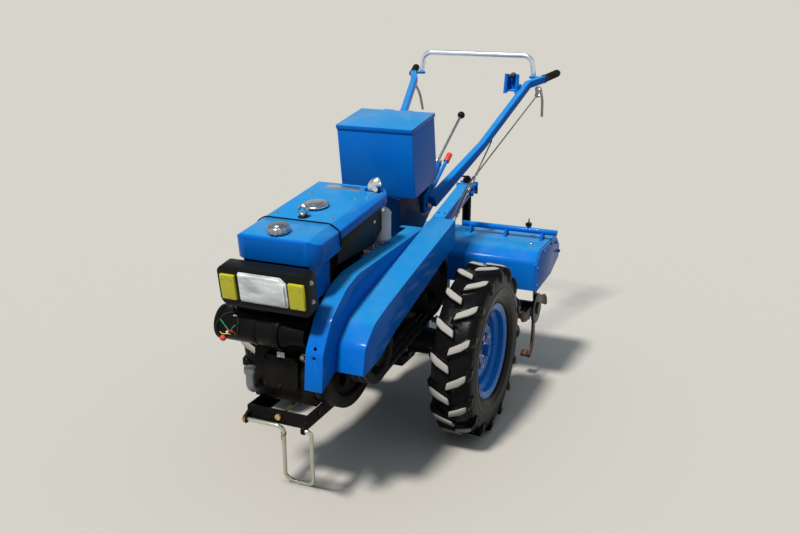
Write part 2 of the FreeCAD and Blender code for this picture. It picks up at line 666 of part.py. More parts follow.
def make_tank():
    rear, middle, front = seam_x - tank_length, seam_x - seam_gap / 2, seam_x + radiator_length
    low, plan = seam_z - 200, (seam_z - 200, seam_z + 50)
    tank = front_slab(hood_section(0, hood_skirt), (rear, middle))
    corners = plan_slab([(rear, -hood_half, hood_rear_corner), (middle, -hood_half, 0), (middle, hood_half, 0),
                         (rear, hood_half, hood_rear_corner)], plan)
    end = side_slab([(rear, low, 0), (middle, low, 0), (middle, seam_z, 0), (rear, seam_z, hood_end_round)],
                    (-hood_half, hood_half))
    pocket = upright(exhaust_x, exhaust_y, (seam_z - 100, seam_z + 120), tip_radius + tip_play)
    pieces["fuel_tank"] = sloped(tank.common(corners).common(end)).cut(pocket)
    middle = seam_x + seam_gap / 2
    shell = front_slab(hood_section(0, front_skirt), (middle, front))
    corners = plan_slab([(middle, -hood_half, 0), (front, -hood_half, hood_front_corner),
                         (front, hood_half, hood_front_corner), (middle, hood_half, 0)], plan)
    end = side_slab([(middle, low, 0), (front, low, 0), (front, seam_z, hood_end_round / 2), (middle, seam_z, 0)],
                    (-hood_half, hood_half))
    pieces["radiator_shell"] = sloped(shell.common(corners).common(end))


def make_core():
    # The dark cooling body under both covers, open at its sides
    tank_under, shell_under = shoulder_drop + hood_skirt + gap, shoulder_drop + front_skirt + gap
    front = hood_point(radiator_length - 14, shell_under)
    step_low, step_high = hood_point(-seam_gap, shell_under), hood_point(-seam_gap, tank_under)
    rear = hood_point(26 - tank_length, tank_under)
    bottom, half = crankcase_top + gap, core_half_width
    profile = [(core_foot_x, bottom, 8), (front[0], bottom, 8), (*front, 0), (*step_low, 0), (*step_high, 0),
               (*rear, 0), (rear[0], 806, 8), (core_foot_x, 796, 8)]
    core = side_slab(profile, (-half, half))
    head = side_slab([(rear[0], core_head_z + 40, 24), (core_foot_x - 40, core_head_z, 8), (step_low[0], core_head_z, 0),
                      (*step_low, 0), (*step_high, 0), (*rear, 0)], (-core_head_half, core_head_half))
    recess = box((core_foot_x + 26, seam_x - 16), (half - 16, half + 1), (bottom + 26, step_high[1] - 16))
    core = fused(core.cut(recess).cut(mirrored(recess)), head)
    muffler_room = upright(muffler_x, muffler_y, (bottom, seam_z + 60), muffler_radius + 5)
    pipe_room = upright(exhaust_x, exhaust_y, (muffler_top - 56, seam_z + 60), tip_radius + 9)
    slats = []
    for k in range(7):
        z = bottom + 20 + 17 * k
        slats.append(box((front[0] - 6, front[0] + 1), (-half + 18, half - 18), (z, z + 8)))
    pieces["radiator_core"] = core.cut(muffler_room).cut(pipe_room).cut(Part.makeCompound(slats))


def make_caps():
    top = seam_z + gap
    for name, x, radius, height in (("fuel_cap", fuel_cap_x, fuel_cap_radius, 13),
                                    ("radiator_cap", radiator_cap_x, radiator_cap_radius, radiator_cap_height)):
        cap = turned_up([(0, top), (radius - 9, top), (radius - 7, top + 4), (radius, top + 5),
                         (radius, top + height - 3), (radius - 4, top + height), (radius * 0.6, top + height),
                         (radius * 0.5, top + height + 3), (0, top + height + 3)], x, 0)
        if name == "radiator_cap":
            for k in range(radiator_cap_notches):
                angle = 2 * pi * k / radiator_cap_notches
                notch = upright(x + (radius + 3) * cos(angle), (radius + 3) * sin(angle), (top - 1, top + 40), 5)
                cap = cap.cut(notch)
        pieces[name] = sloped(cap)
    hole, half = eye_hole, eye_thickness / 2
    ring = turned([(hole, -half + 2), (hole + 2, -half), (eye_radius - 3, -half), (eye_radius, -half + 3),
                   (eye_radius, half - 3), (eye_radius - 3, half), (hole + 2, half), (hole, half - 2)], 0, 0, 0)
    ring.rotate(Vector(), Vector(0, 0, 1), 90)
    ring.translate(Vector(eye_x, eye_y, top + eye_radius + 3))
    stem = upright(eye_x, eye_y, (top, top + 8), 7)
    pieces["lifting_eye"] = sloped(fused(ring, stem))


def make_exhaust():
    # An upright pot behind the radiator, fed from the head, and the bright pipe on it
    high = muffler_top
    low = high - muffler_height
    r = muffler_radius
    neck = (exhaust_x - muffler_x, exhaust_y - muffler_y)
    pot = turned_up([(0, low), (r - 8, low), (r, low + 10), (r, high - 34), (r - 5, high - 26), (r - 16, high - 18),
                     (0, high - 16)], muffler_x, muffler_y)
    duct = bent_rod([(muffler_x, muffler_y, high - 40, 0), (muffler_x + neck[0], muffler_y + neck[1], high - 26, 16),
                     (exhaust_x, exhaust_y, high, 0)], tip_radius - 2)
    port_x, port_y = cylinder_rear - 20, crankcase_y[1] - 34
    inlet_y = muffler_y - 16
    elbow = bent_rod([(muffler_x, inlet_y, low + 12, 0), (muffler_x, inlet_y, low - 46, 30),
                      (port_x, port_y, head_top + 40, 24), (port_x, port_y, head_top + gap, 0)], 15)
    pieces["muffler"] = fused(pot, duct, elbow)
    knee = (exhaust_x, exhaust_y, high + tip_rise)
    mouth = tuple(knee[i] + tip_end[i] for i in range(3))
    beyond = between(knee, mouth, 1.3)
    start = (exhaust_x, exhaust_y, high + gap)
    pipe = bent_rod([(*start, 0), (*knee, tip_bend), (*mouth, 0)], tip_radius)
    bore = bent_rod([(*start[:2], high + 8, 0), (*knee, tip_bend), (*beyond, 0)], tip_radius - tip_wall)
    pieces["exhaust_tip"] = pipe.cut(bore)


def make_lamp():
    x0, x1 = lamp_front - lamp_depth, lamp_front
    z0, z1 = lamp_z
    w = lamp_half_width
    shell = front_slab([(-w, z0 + 8, 26), (-w + 24, z0, 8), (w, z0, 16), (w, z1, 22), (-w, z1, 22)], (x0, x1))
    def lens_plate(grow, x):
        # its upper outer corner is cut off on the machine's left
        a, low, high = lens_half_width + grow, lens_z[0] - grow, lens_z[1] + grow
        return front_slab([(-a, low, 9), (a, low, 9), (a, high - 18, 10), (a - 18, high, 10), (-a, high, 9)], x)
    shell = shell.cut(lens_plate(1, (x1 - 20, x1 + 1)))
    side_pockets = box((x1 - 8, x1 + 1), (indicator_y[0] - gap, indicator_y[1] + gap),
                       (indicator_z[0] - gap, indicator_z[1] + gap))
    shell = shell.cut(side_pockets).cut(mirrored(side_pockets))
    def pitched(shape):
        shape.rotate(Vector(x1, 0, z1), Vector(0, 1, 0), lamp_pitch)
        return shape
    # two arms stand out from the radiator's front and carry it
    core_front = hood_point(radiator_length - 14, shoulder_drop + front_skirt + gap)[0]
    back = x0 - (z1 - z0) * sin(radians(lamp_pitch)) / 2
    arm = box((core_front + gap, back + 24), (60, 92), (z0 + 34, z0 + 50))
    pieces["lamp_housing"] = fused(pitched(shell), arm, mirrored(arm))
    lens = fused(lens_plate(0, (x1 - 20 + gap, x1 + 2)), lens_plate(-6, (x1, x1 + 7)))
    pieces["lamp_lens"] = pitched(lens)
    left = box((x1 - 8 + gap, x1 + 9), indicator_y, indicator_z)
    pieces["indicators"] = pitched(both(left.makeFillet(2.5, left.Edges)))


def tipped(shape):
    shape.rotate(Vector(box_front_x, 0, box_lid_z), Vector(0, 1, 0), box_pitch)
    return shape


def make_tool_box():
    front, rear = box_front_x - lid_lap, box_front_x - lid_lap - box_length
    half, top = box_width / 2, box_lid_z - box_wall
    outline = [(rear, -half, 3), (front, -half, 3), (front, half, 3), (rear, half, 3)]
    t = box_wall
    inner = [(rear + t, -half + t, 1), (front - t, -half + t, 1), (front - t, half - t, 1), (rear + t, half - t, 1)]
    body = plan_slab(outline, (top - box_height, top - gap))
    room = plan_slab(inner, (top - box_height + t, top + 5))
    hinge_z = top - 9
    barrels = [rod((rear - 5, y, hinge_z), (rear - 5, y + 34, hinge_z), 4) for y in (-90, -17, 56)]
    leaves = [box((rear - 5, rear + 1), (y, y + 34), (hinge_z - 4, hinge_z)) for y in (-90, -17, 56)]
    pieces["tool_box"] = tipped(fused(body.cut(room), *barrels, *leaves))
    lap = lid_lap
    cover = plan_slab([(rear - 0.5, -half - lap, 0), (box_front_x, -half - lap, 4), (box_front_x, half + lap, 4),
                       (rear - 0.5, half + lap, 0)], (top - lid_lip, box_lid_z))
    under = box((rear - 10, front + gap + 0.4), (-half - gap - 0.4, half + gap + 0.4), (top - lid_lip - 1, top))
    knuckles = [rod((rear - 5, y, hinge_z), (rear - 5, y + 38, hinge_z), 4) for y in (-55.5, 17.5)]
    straps = [box((rear - 9, rear - 5), (y, y + 38), (hinge_z, box_lid_z)) for y in (-55.5, 17.5)]
    tops = [box((rear - 9, rear + 2), (y, y + 38), (top, box_lid_z)) for y in (-55.5, 17.5)]
    pieces["box_lid"] = tipped(fused(cover.cut(under), *knuckles, *straps, *tops))


def make_handle_post():
    half, t = post_half_width, post_wall
    pitch, deep = radians(box_pitch), box_wall + box_height
    base = gearbox_top
    def shelf(x):
        # just under the box's floor, which is tipped about the lid's front edge
        return box_lid_z - deep * cos(pitch) + (box_front_x - deep * sin(pitch) - x) * tan(pitch) - gap
    f, r = post_front, post_rear
    bar_z = handle_foot[2]
    plate = side_slab([(f, base + gap, 0), (f, shelf(f), 6), (-150, shelf(-150), 20), (r, bar_z + 66, 26),
                       (r - 8, bar_z - 28, 26), (-150, base + 40, 20), (-110, base + gap, 0)], (half, half + t))
    shelf_plate = side_slab([(f, shelf(f) - t, 0), (f, shelf(f), 0), (-140, shelf(-140), 0),
                             (-140, shelf(-140) - t, 0)], (-half, half))
    foot = box((-110, f), (-half, half), (base + gap, base + gap + t))
    web = box((f - t, f), (-half, -half + 46), (base + 4, shelf(f) - 2))
    pieces["handle_post"] = fused(plate, mirrored(plate), shelf_plate, foot, web, mirrored(web))


def bar_section(centre, along, size):
    along = Vector(*along).normalize()
    side = Vector(0, 0, 1).cross(along).normalize()
    up = along.cross(side)
    w, h = size[0] / 2, size[1] / 2
    middle = Vector(*centre)
    corners = [(-w, -h), (w, -h), (w, h), (-w, h)]
    points = [middle + side * a + up * b for a, b in corners]
    return Part.Wire(corner_edges([((p.x, p.y, p.z), 5) for p in points]))


def between(a, b, share):
    return tuple(a[i] + (b[i] - a[i]) * share for i in range(3))


def difference(a, b):
    return tuple(b[i] - a[i] for i in range(3))


def make_handlebars():
    def unit_sum(a, b):
        sizes = [hypot(hypot(*v[:2]), v[2]) for v in (a, b)]
        return tuple(a[i] / sizes[0] + b[i] / sizes[1] for i in range(3))
    low, mid = difference(handle_foot, handle_knee), difference(handle_knee, handle_bend)
    high = difference(handle_bend, grip_start)
    near, far = between(handle_bend, handle_knee, 0.12), between(handle_bend, grip_start, 0.45)
    # straight lofts between the places where the bar bends
    stops = [(handle_foot, low, handle_low), (handle_knee, unit_sum(low, mid), handle_mid), (near, mid, handle_mid),
             (handle_bend, unit_sum(mid, high), handle_mid), (far, high, handle_high),
             (grip_start, difference(grip_start, grip_end), handle_high)]
    sections = [bar_section(*stop) for stop in stops]
    bar = fused(*[Part.makeLoft(list(pair), True, True) for pair in zip(sections, sections[1:])])
    half, foot_z = post_half_width + post_wall, handle_foot[2]
    foot = side_slab([(-150, foot_z - 40, 14), (-150, foot_z + 20, 14), (-236, foot_z + 60, 14),
                      (-266, foot_z + 30, 14), (-258, foot_z - 24, 14), (-214, foot_z - 40, 14)], (half + gap, half + 9))
    bolts = [across(x, foot_z - 10, (half + 8, half + 18), 9) for x in (-238, -172)]
    # a small eye under the bar holds the brake rod's upper end
    eye_x, under = -600, handle_knee[2] + 15
    eye = side_slab([(eye_x - 12, under - 12, 6), (eye_x + 12, under - 12, 6), (eye_x + 12, under + 14, 0),
                     (eye_x - 12, under + 20, 0)], (brake_rod_top[1] - 9, brake_rod_top[1] - 4))
    inner_tube = rod(grip_start, between(grip_start, grip_end, 0.9), 11)
    left = fused(bar, foot, *bolts, eye, inner_tube)
    grip_at = Vector(*grip_start)
    length = Vector(*difference(grip_start, grip_end)).Length
    collar = grip_radius + grip_collar
    profile = [(11.2, 0.5), (collar, 0.5), (collar, 5), (grip_radius, 8), (grip_radius - 1, length * 0.5),
               (grip_radius, length - 8), (grip_radius - 3, length), (0, length), (0, length * 0.9 + 1),
               (11.2, length * 0.9 + 1)]
    wire = Part.makePolygon([Vector(a, 0, b) for a, b in profile + profile[:1]])
    grip = Part.Face(wire).revolve(Vector(), Vector(0, 0, 1), 360)
    grip.Placement = Placement(grip_at, Rotation(Vector(0, 0, 1), Vector(*difference(grip_start, grip_end))))
    pieces["handlebar_left"] = left
    pieces["handlebar_right"] = mirrored(left)
    pieces["grips"] = both(grip)


def make_hoop():
    x, y, z = hoop_top
    fx, fy, fz = hoop_foot
    path = [(fx, fy, fz, 0), (fx, fy, fz + 16, 20), (x, y, z, hoop_bend), (x, -y, z, hoop_bend),
            (fx, -fy, fz + 16, 20), (fx, -fy, fz, 0)]
    pieces["hoop"] = bent_rod(path, hoop_radius)
    # each leg stands on a small bracket that reaches in from the bar's end
    run, spread = grip_start[0] - handle_bend[0], grip_start[1] - handle_bend[1]
    def bar_face(x):
        middle = handle_bend[1] + spread * (x - handle_bend[0]) / run
        return middle - handle_high[0] / 2 * hypot(run, spread) / abs(run) - gap
    clamp = plan_slab([(fx - 14, fy - 14, 10), (fx + 14, fy - 14, 10), (fx + 26, bar_face(fx + 26), 0),
                       (fx + 6, bar_face(fx + 6), 0)], (fz - gap - 10, fz - gap))
    pieces["hoop_clamps"] = both(clamp)


def make_controls():
    # The main clutch lever: two cheeks on the left bar with a knob between them
    x, y, z = clutch_lever_at
    width = 42
    cheeks = []
    for dy in (0, width - 4):
        cheeks.append(side_slab([(x - 30, z - 8, 8), (x + 26, z - 18, 8), (x + 8, z + 62, 8), (x - 32, z + 56, 8)],
                                (y + dy, y + dy + 4)))
    floor = box((x - 18, x + 16), (y, y + width), (z - 10, z - 5))
    arm = box((x - 16, x + 10), (y + width - 2, y + width + 9), (z - 4, z + 14))
    pin_z = z + 50
    knob = Part.makeSphere(13, Vector(x - 12, y + width / 2, pin_z + 4))
    pin = across(x - 12, pin_z, (y + 2, y + width - 2), 4)
    pieces["clutch_lever"] = fused(*cheeks, floor, arm, pin)
    pieces["clutch_knob"] = knob.cut(across(x - 12, pin_z, (y - 2, y + width + 2), 4 + bore_play))
    squeeze = bent_rod([(-950, 292, 1143, 0), (-984, 295, 1140, 24), (-1044, 291, 1082, 110), (-1068, 286, 1008, 0)], 6)
    ear = box((-962, -938), (286, 298), (1104, 1150))
    pieces["squeeze_levers"] = both(fused(squeeze, ear))
    # The steering-clutch rod and the brake rod of each side, and the arms they pull
    side = gearbox_half_width + gap
    for_a = (-150, 140, 600)
    for_b = (-112, 150, 612)
    rod_a = bent_rod([(-936, 292, 1110, 0), (-420, 168, 806, 120), (*for_a, 0)], control_rod_radius)
    rod_b = bent_rod([(*brake_rod_top, 0), (-250, 178, 700, 200), (*for_b, 0)], control_rod_radius)
    arm_a = side_slab([(-162, 566, 10), (-138, 566, 10), (-138, 612, 10), (-162, 612, 10)], (134, 142))
    arm_b = side_slab([(-124, 566, 10), (-100, 566, 10), (-100, 624, 10), (-124, 624, 10)], (144, 152))
    pivots = [across(-150, 578, (side, 136), 9), across(-112, 578, (side, 146), 9)]
    pieces["control_rods"] = both(fused(rod_a, rod_b, arm_a, arm_b, *pivots))
    # The gear lever: a stick in a tube, with a ball on its end
    length = Vector(*difference(gear_root, gear_knee)).Length
    tube = rod(between(gear_root, gear_knee, gear_dome + gap / length), gear_knee, gear_tube_radius)
    inside = between(gear_root, gear_knee, 0.85)
    tube = tube.cut(rod(inside, between(gear_root, gear_knee, 1.1), gear_stick_radius + gap))
    length = Vector(*difference(gear_knee, gear_knob)).Length
    end = between(gear_knee, gear_knob, 1 - gap / length)
    start = between(gear_root, gear_knee, 0.85 + 0.002)
    pieces["gear_lever"] = tube
    pieces["gear_stick"] = bent_rod([(*start, 0), (*gear_knee, 20), (*end, 0)], gear_stick_radius)
    # the ball is turned about the stick, with the stick's blind hole in it
    r, bore = gear_knob_radius, gear_stick_radius + gap
    corners = [Vector(0, 0, r), Vector(0, 0, 0), Vector(bore, 0, 0), Vector(bore, 0, -sqrt(r ** 2 - bore ** 2))]
    edges = [Part.LineSegment(*pair).toShape() for pair in zip(corners, corners[1:])]
    edges.append(Part.Arc(corners[-1], Vector(r, 0, 0), corners[0]).toShape())
    ball = Part.Face(Part.Wire(edges)).revolve(Vector(), Vector(0, 0, 1), 360)
    ball.Placement = Placement(Vector(*gear_knob), Rotation(Vector(0, 0, 1), Vector(*difference(gear_knee, gear_knob))))
    pieces["gear_knob"] = ball
    # A short hand lever on the left plate of the post, with a red sleeve
    x, y, z = side_lever_root
    pivot = across(x, z, (y - 3, post_half_width - gap), side_lever_radius + 3)
    pieces["side_lever"] = fused(rod(side_lever_root, side_lever_end, side_lever_radius), pivot)
    along = Vector(*difference(side_lever_root, side_lever_end))
    low = between(side_lever_root, side_lever_end, 1 - (side_grip_length - 6) / along.Length)
    high = between(side_lever_root, side_lever_end, 1 + 6 / along.Length)
    hole_end = between(side_lever_root, side_lever_end, 1 + gap / along.Length)
    sleeve = rod(low, high, side_grip_radius)
    pieces["side_grip"] = sleeve.cut(rod(side_lever_root, hole_end, side_lever_radius + gap))


def make_tiller():
    f = gearbox_rear - tiller_flange_wall - gap
    case = side_slab([(f, 250, 10), (f, 440, 10), (-330, 520, 40), (rotor_x + 40, 560, 60), (rotor_x - 70, 560, 60),
                      (rotor_x - 66, rotor_z, 66), (rotor_x, rotor_z - 78, 60), (rotor_x + 66, rotor_z, 60),
                      (rotor_x + 110, 400, 60), (-300, 300, 40)], (-34, 34))
    flange = front_slab([(-tiller_flange_half_width, 250, 16), (tiller_flange_half_width, 250, 16),
                         (tiller_flange_half_width, 440, 16), (-tiller_flange_half_width, 440, 16)], (f - 16, f))
    neck = front_slab([(-70, 270, 20), (70, 270, 20), (70, 420, 20), (-70, 420, 20)], (-330, f - 10))
    top = box((rotor_x - 60, rotor_x + 60), (-60, 60), (hood_top - 52, hood_top - hood_sheet - gap))
    bore = across(rotor_x, rotor_z, (-60, 60), rotor_shaft_radius + bore_play)
    pieces["tiller_case"] = fused(case, flange, neck, top).cut(bore)
    t = hood_sheet
    line = [(hood_front, hood_lower, 0), (hood_front, 552, 30), (hood_front - 46, hood_top, 40),
            (hood_rear + 60, hood_top, 50), (hood_rear, 540, 30), (hood_rear, 470, 0)]
    inner = [(x, z, max(r - t, 0)) for x, z, r in offset_line(line, -t)]
    shell = side_slab(line + inner[::-1], (-hood_end_y, hood_end_y))
    slot = box((hood_front - 15, hood_front + 10), (-74, 74), (hood_lower - 10, hood_top - 62))
    pieces["tiller_hood"] = shell.cut(slot)
    plate = side_slab([(hood_front - 4, hood_lower - 6, 4), (hood_front - 4, 550, 30), (hood_front - 48, hood_top - 4, 38),
                       (hood_rear + 62, hood_top - 4, 48), (hood_rear + 4, 538, 28), (hood_rear + 4, 488, 10),
                       (rotor_x - 20, hood_lower + 6, 30)], (hood_end_y + gap, hood_end_y + gap + 5))
    pieces["tiller_end_plates"] = both(plate)
    beam = across(beam_x, beam_z, beam_y, beam_radius)
    feet = [side_slab([(beam_x - 26, hood_top + gap, 0), (beam_x + 26, hood_top + gap, 0),
                       (beam_x + 9, beam_z, 4), (beam_x - 9, beam_z, 4)], (y - 5, y + 5)) for y in (150, 300, 450)]
    knob = upright(beam_x, 392, (beam_z + 8, beam_z + 30), 9)
    pieces["tiller_beam"] = both(fused(beam, *feet, knob))


def make_rotor():
    shaft = across(rotor_x, rotor_z, (-rotor_half_width, rotor_half_width), rotor_shaft_radius)
    parts = [shaft]
    first, last = 96.0, rotor_half_width - 14
    for side in (-1, 1):
        for k in range(rotor_stations):
            y = side * (first + (last - first) * k / (rotor_stations - 1))
            parts.append(across(rotor_x, rotor_z, (y - 5, y + 5), 62))
            for n in range(tines_per_station):
                hand = 1 if (n + k) % 2 else -1
                if k == rotor_stations - 1:
                    hand = -side
                blade = tine(y, hand)
                blade.rotate(Vector(rotor_x, 0, rotor_z), Vector(0, 1, 0), 90 * n + 22.5 * k + 11 * (side + 1))
                parts.append(blade)
    pieces["rotor"] = fused(*parts)


def tine(y, hand):
    # An L-shaped blade: a curved arm out from the shaft, then a cutting foot to one side
    r = tine_radius
    t = tine_thickness
    root = [(44, -17), (120, -20), (r - 40, -8), (r - 12, 16), (r - 2, 44), (r - 22, 46), (r - 44, 30),
            (120, 16), (44, 17)]
    arm = Part.Face(Part.makePolygon([Vector(rotor_x + a, y + hand * 5, rotor_z + b) for a, b in root + root[:1]]))
    arm = arm.extrude(Vector(0, hand * t, 0))
    foot_line = [(r - 26, 20), (r - 12, 16), (r - 4, 43), (r - 15, 46)]
    foot = Part.Face(Part.makePolygon([Vector(rotor_x + a, y + hand * 5, rotor_z + b)
                                       for a, b in foot_line + foot_line[:1]]))
    foot = foot.extrude(Vector(0, hand * 40, 0))
    return arm.fuse(foot)


def make_tail():
    x, (low, high), half = tail_post_x, tail_clamp_z, tail_clamp_half
    front = x + 32
    arm = side_slab([(rotor_x - 44, hood_top + gap, 4), (rotor_x + 10, hood_top + gap, 4), (rotor_x + 4, 634, 18),
                     (front, high, 8), (front, low, 10), (-700, 612, 30)], (-27, 27))
    hollow = side_slab([(rotor_x - 50, hood_top - 2, 4), (rotor_x - 2, hood_top - 2, 4), (rotor_x - 6, 626, 14),
                        (front + 6, high - 8, 4), (front + 6, low + 8, 4), (-698, 620, 26)], (-22, 22))
    plates = [box((x + a, x + a + 10), (-half, half), (low, high)) for a in (22, -32)]
    block = box((x - 24, x + 24), (11 - half, half - 11), (low + 3, high - 3))
    bolts = [rod((x - 39, y, z), (x + 39, y, z), 6) for y in (8 - half, half - 8) for z in (low + 13, high - 13)]
    bore = upright(x, 0, (low - 50, high + 50), tail_post_radius + bore_play)
    pieces["tail_arm"] = fused(arm.cut(hollow), *plates, block, *bolts).cut(bore)
    axle_x, axle_z = tail_post_x - tail_trail, tail_wheel_radius
    post = upright(x, 0, (290, tail_post_top), tail_post_radius)
    screw = upright(x, 0, (tail_post_top, tail_post_top + 13), 8)
    crank = rod((x, 12, tail_post_top + 7), (x, -40, tail_post_top + 10), 4)
    pieces["tail_post"] = fused(post, screw, crank)
    half = tail_wheel_half_width + 8
    crown = box((tail_post_x - 40, tail_post_x + 26), (-half - 6, half + 6), (276, 290 - gap))
    leg = side_slab([(tail_post_x - 40, 290 - gap, 4), (tail_post_x + 26, 290 - gap, 4), (tail_post_x + 18, 250, 20),
                     (axle_x + 20, axle_z - 18, 18), (axle_x - 20, axle_z - 18, 18), (axle_x - 20, 250, 30)],
                    (half, half + 6))
    pin = across(axle_x, axle_z, (-half - 12, half + 12), 10)
    pieces["tail_fork"] = fused(crown, leg, mirrored(leg), pin)
    r, w = tail_wheel_radius, tail_wheel_half_width
    pieces["tail_wheel"] = turned([(10 + bore_play, -w - 7), (24, -w - 7), (24, -14), (r - 26, -10), (r - 22, -w),
                                   (r - 5, -w), (r, -w + 6), (r, w - 6), (r - 5, w), (r - 22, w), (r - 26, 10),
                                   (24, 14), (24, w + 7), (10 + bore_play, w + 7)], axle_x, 0, axle_z)


for make in (make_wheels, make_axle_tubes, make_frame, make_stand, make_gearbox, make_engine, make_starter,
             make_belt_drive, make_guards, make_tank, make_core, make_caps, make_exhaust, make_lamp, make_tool_box,
             make_handle_post, make_handlebars, make_hoop, make_controls, make_tiller, make_rotor, make_tail):
    make()

# The origin goes to the middle of the floor that the machine covers
reach = Part.makeCompound(list(pieces.values())).optimalBoundingBox(False, False)
to_origin = Vector(-(reach.XMin + reach.XMax) / 2, -(reach.YMin + reach.YMax) / 2, -reach.ZMin)
os.makedirs("parts", exist_ok=True)
for name, shape in pieces.items():
    shape.translate(to_origin)
    shape.exportStep("parts/" + name + ".step")
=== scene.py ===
import json
import math
import random

import bmesh
import bpy
from mathutils import Matrix, Vector
from mathutils.bvhtree import BVHTree


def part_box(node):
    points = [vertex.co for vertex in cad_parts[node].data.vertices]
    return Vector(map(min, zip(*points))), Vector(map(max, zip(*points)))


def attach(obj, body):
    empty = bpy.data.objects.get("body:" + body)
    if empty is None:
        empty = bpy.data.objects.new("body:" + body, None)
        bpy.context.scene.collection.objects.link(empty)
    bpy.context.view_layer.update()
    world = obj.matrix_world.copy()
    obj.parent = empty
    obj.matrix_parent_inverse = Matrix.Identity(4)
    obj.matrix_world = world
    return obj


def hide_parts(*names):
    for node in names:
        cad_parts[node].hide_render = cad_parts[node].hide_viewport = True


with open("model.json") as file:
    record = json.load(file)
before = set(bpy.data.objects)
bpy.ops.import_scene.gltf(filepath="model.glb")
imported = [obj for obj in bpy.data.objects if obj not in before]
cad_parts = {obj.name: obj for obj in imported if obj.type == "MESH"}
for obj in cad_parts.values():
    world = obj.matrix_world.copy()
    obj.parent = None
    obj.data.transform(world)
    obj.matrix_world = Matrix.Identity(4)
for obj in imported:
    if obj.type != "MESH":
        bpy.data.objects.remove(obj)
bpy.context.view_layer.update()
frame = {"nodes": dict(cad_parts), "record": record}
cadNodes = frame["nodes"]
bodyOfNode = {node: body for body, members in frame["record"]["behaviour"]["bodies"].items() for node in members}
slotOfNode = {row["node"]: row["material_slot"] for row in frame["record"]["subparts"]}
axle = sum(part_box("axle_left"), Vector()) / 2  # the wheels' axle, from which places below are measured
print("frame loaded,", len(cadNodes), "nodes")


def at(x, y, z):
    # Millimetres ahead of the axle, left of the middle and above the ground
    return Vector((axle.x + x / 1000, y / 1000, z / 1000))


# Camera and light
cameraSet = {"place": (2870.2, 1315.9, 1560.1), "heading": 203.53, "tilt": -17.36, "roll": -0.26, "lens": 40.5}
floorSet = {"size": 400, "seen": (0.475, 0.45, 0.405), "bounce": (0.2, 0.2, 0.2)}
lightSet = {
    "sun": 3.9, "sunFrom": (0.6, -0.14, 1.0), "sunAngle": 8, "sunColour": (1, 0.975, 0.94),
    "sky": 0.6, "zenith": (0.76, 0.88, 1.0), "horizon": (0.1, 0.115, 0.14), "backdrop": (1.08, 1.05, 0.98),
    "overhead": (0.3, 0.36, 0.44),
}


def makeCamera(s):
    heading, tilt, roll = (math.radians(s[k]) for k in ("heading", "tilt", "roll"))
    ahead = Vector((math.cos(heading) * math.cos(tilt), math.sin(heading) * math.cos(tilt), math.sin(tilt)))
    right = Vector((math.sin(heading), -math.cos(heading), 0))
    up = right.cross(ahead)
    turn = Matrix.Rotation(roll, 3, ahead)
    right, up = turn @ right, turn @ up
    camera = bpy.data.objects.new("camera", bpy.data.cameras.new("camera"))
    bpy.context.scene.collection.objects.link(camera)
    camera.data.lens = s["lens"]
    camera.data.sensor_width = 36
    basis = Matrix((right, up, -ahead)).transposed().to_4x4()
    basis.translation = at(*s["place"])
    camera.matrix_world = basis
    bpy.context.scene.camera = camera


def seenDirectly(tree):
    # 1 for what is looked at, mirrored or seen through glass, and 0 for what only gives light
    light = tree.nodes.new("ShaderNodeLightPath")
    seen = maths(tree, "MAXIMUM", light.outputs["Is Camera Ray"], light.outputs["Is Glossy Ray"])
    return maths(tree, "MAXIMUM", seen, light.outputs["Is Transmission Ray"])


def makeLights(s):
    # One soft sun, and a sky that is brightest overhead; looked at or mirrored, it is a pale backdrop
    world = bpy.data.worlds.new("sky")
    bpy.context.scene.world = world
    world.use_nodes = True
    tree = world.node_tree
    coords = tree.nodes.new("ShaderNodeTexCoord")
    split = tree.nodes.new("ShaderNodeSeparateXYZ")
    tree.links.new(coords.outputs["Generated"], split.inputs[0])
    height = band(tree, split.outputs["Z"], 0.0, 0.85)
    sky = mixColour(tree, height, s["horizon"], s["zenith"])
    backdrop = mixColour(tree, band(tree, split.outputs["Z"], 0.1, 0.7), s["backdrop"], s["overhead"])
    seen = mixColour(tree, seenDirectly(tree), sky, backdrop)
    tree.links.new(seen, tree.nodes["Background"].inputs["Color"])
    tree.nodes["Background"].inputs["Strength"].default_value = s["sky"]
    sun = bpy.data.lights.new("sun", "SUN")
    sun.energy, sun.angle, sun.color = s["sun"], math.radians(s["sunAngle"]), s["sunColour"]
    holder = bpy.data.objects.new("sun", sun)
    bpy.context.scene.collection.objects.link(holder)
    holder.rotation_euler = Vector(s["sunFrom"]).to_track_quat("Z", "Y").to_euler()


# Materials
def newMaterial(name, colour, roughness, metallic=0.0, coat=0.0, specular=0.5):
    material = bpy.data.materials.new(name)
    material.use_nodes = True
    tree = material.node_tree
    shader = tree.nodes["Principled BSDF"]
    shader.inputs["Base Color"].default_value = (*colour, 1)
    shader.inputs["Roughness"].default_value = roughness
    shader.inputs["Metallic"].default_value = metallic
    shader.inputs["Coat Weight"].default_value = coat
    shader.inputs["Coat Roughness"].default_value = 0.08
    shader.inputs["Specular IOR Level"].default_value = specular
    return material, tree, shader


def objectCoords(tree, centre=(0, 0, 0), scale=(1, 1, 1)):
    coords = tree.nodes.new("ShaderNodeTexCoord")
    mapping = tree.nodes.new("ShaderNodeMapping")
    mapping.inputs["Location"].default_value = [-c * s for c, s in zip(centre, scale)]
    mapping.inputs["Scale"].default_value = scale
    tree.links.new(coords.outputs["Object"], mapping.inputs["Vector"])
    return mapping.outputs["Vector"]


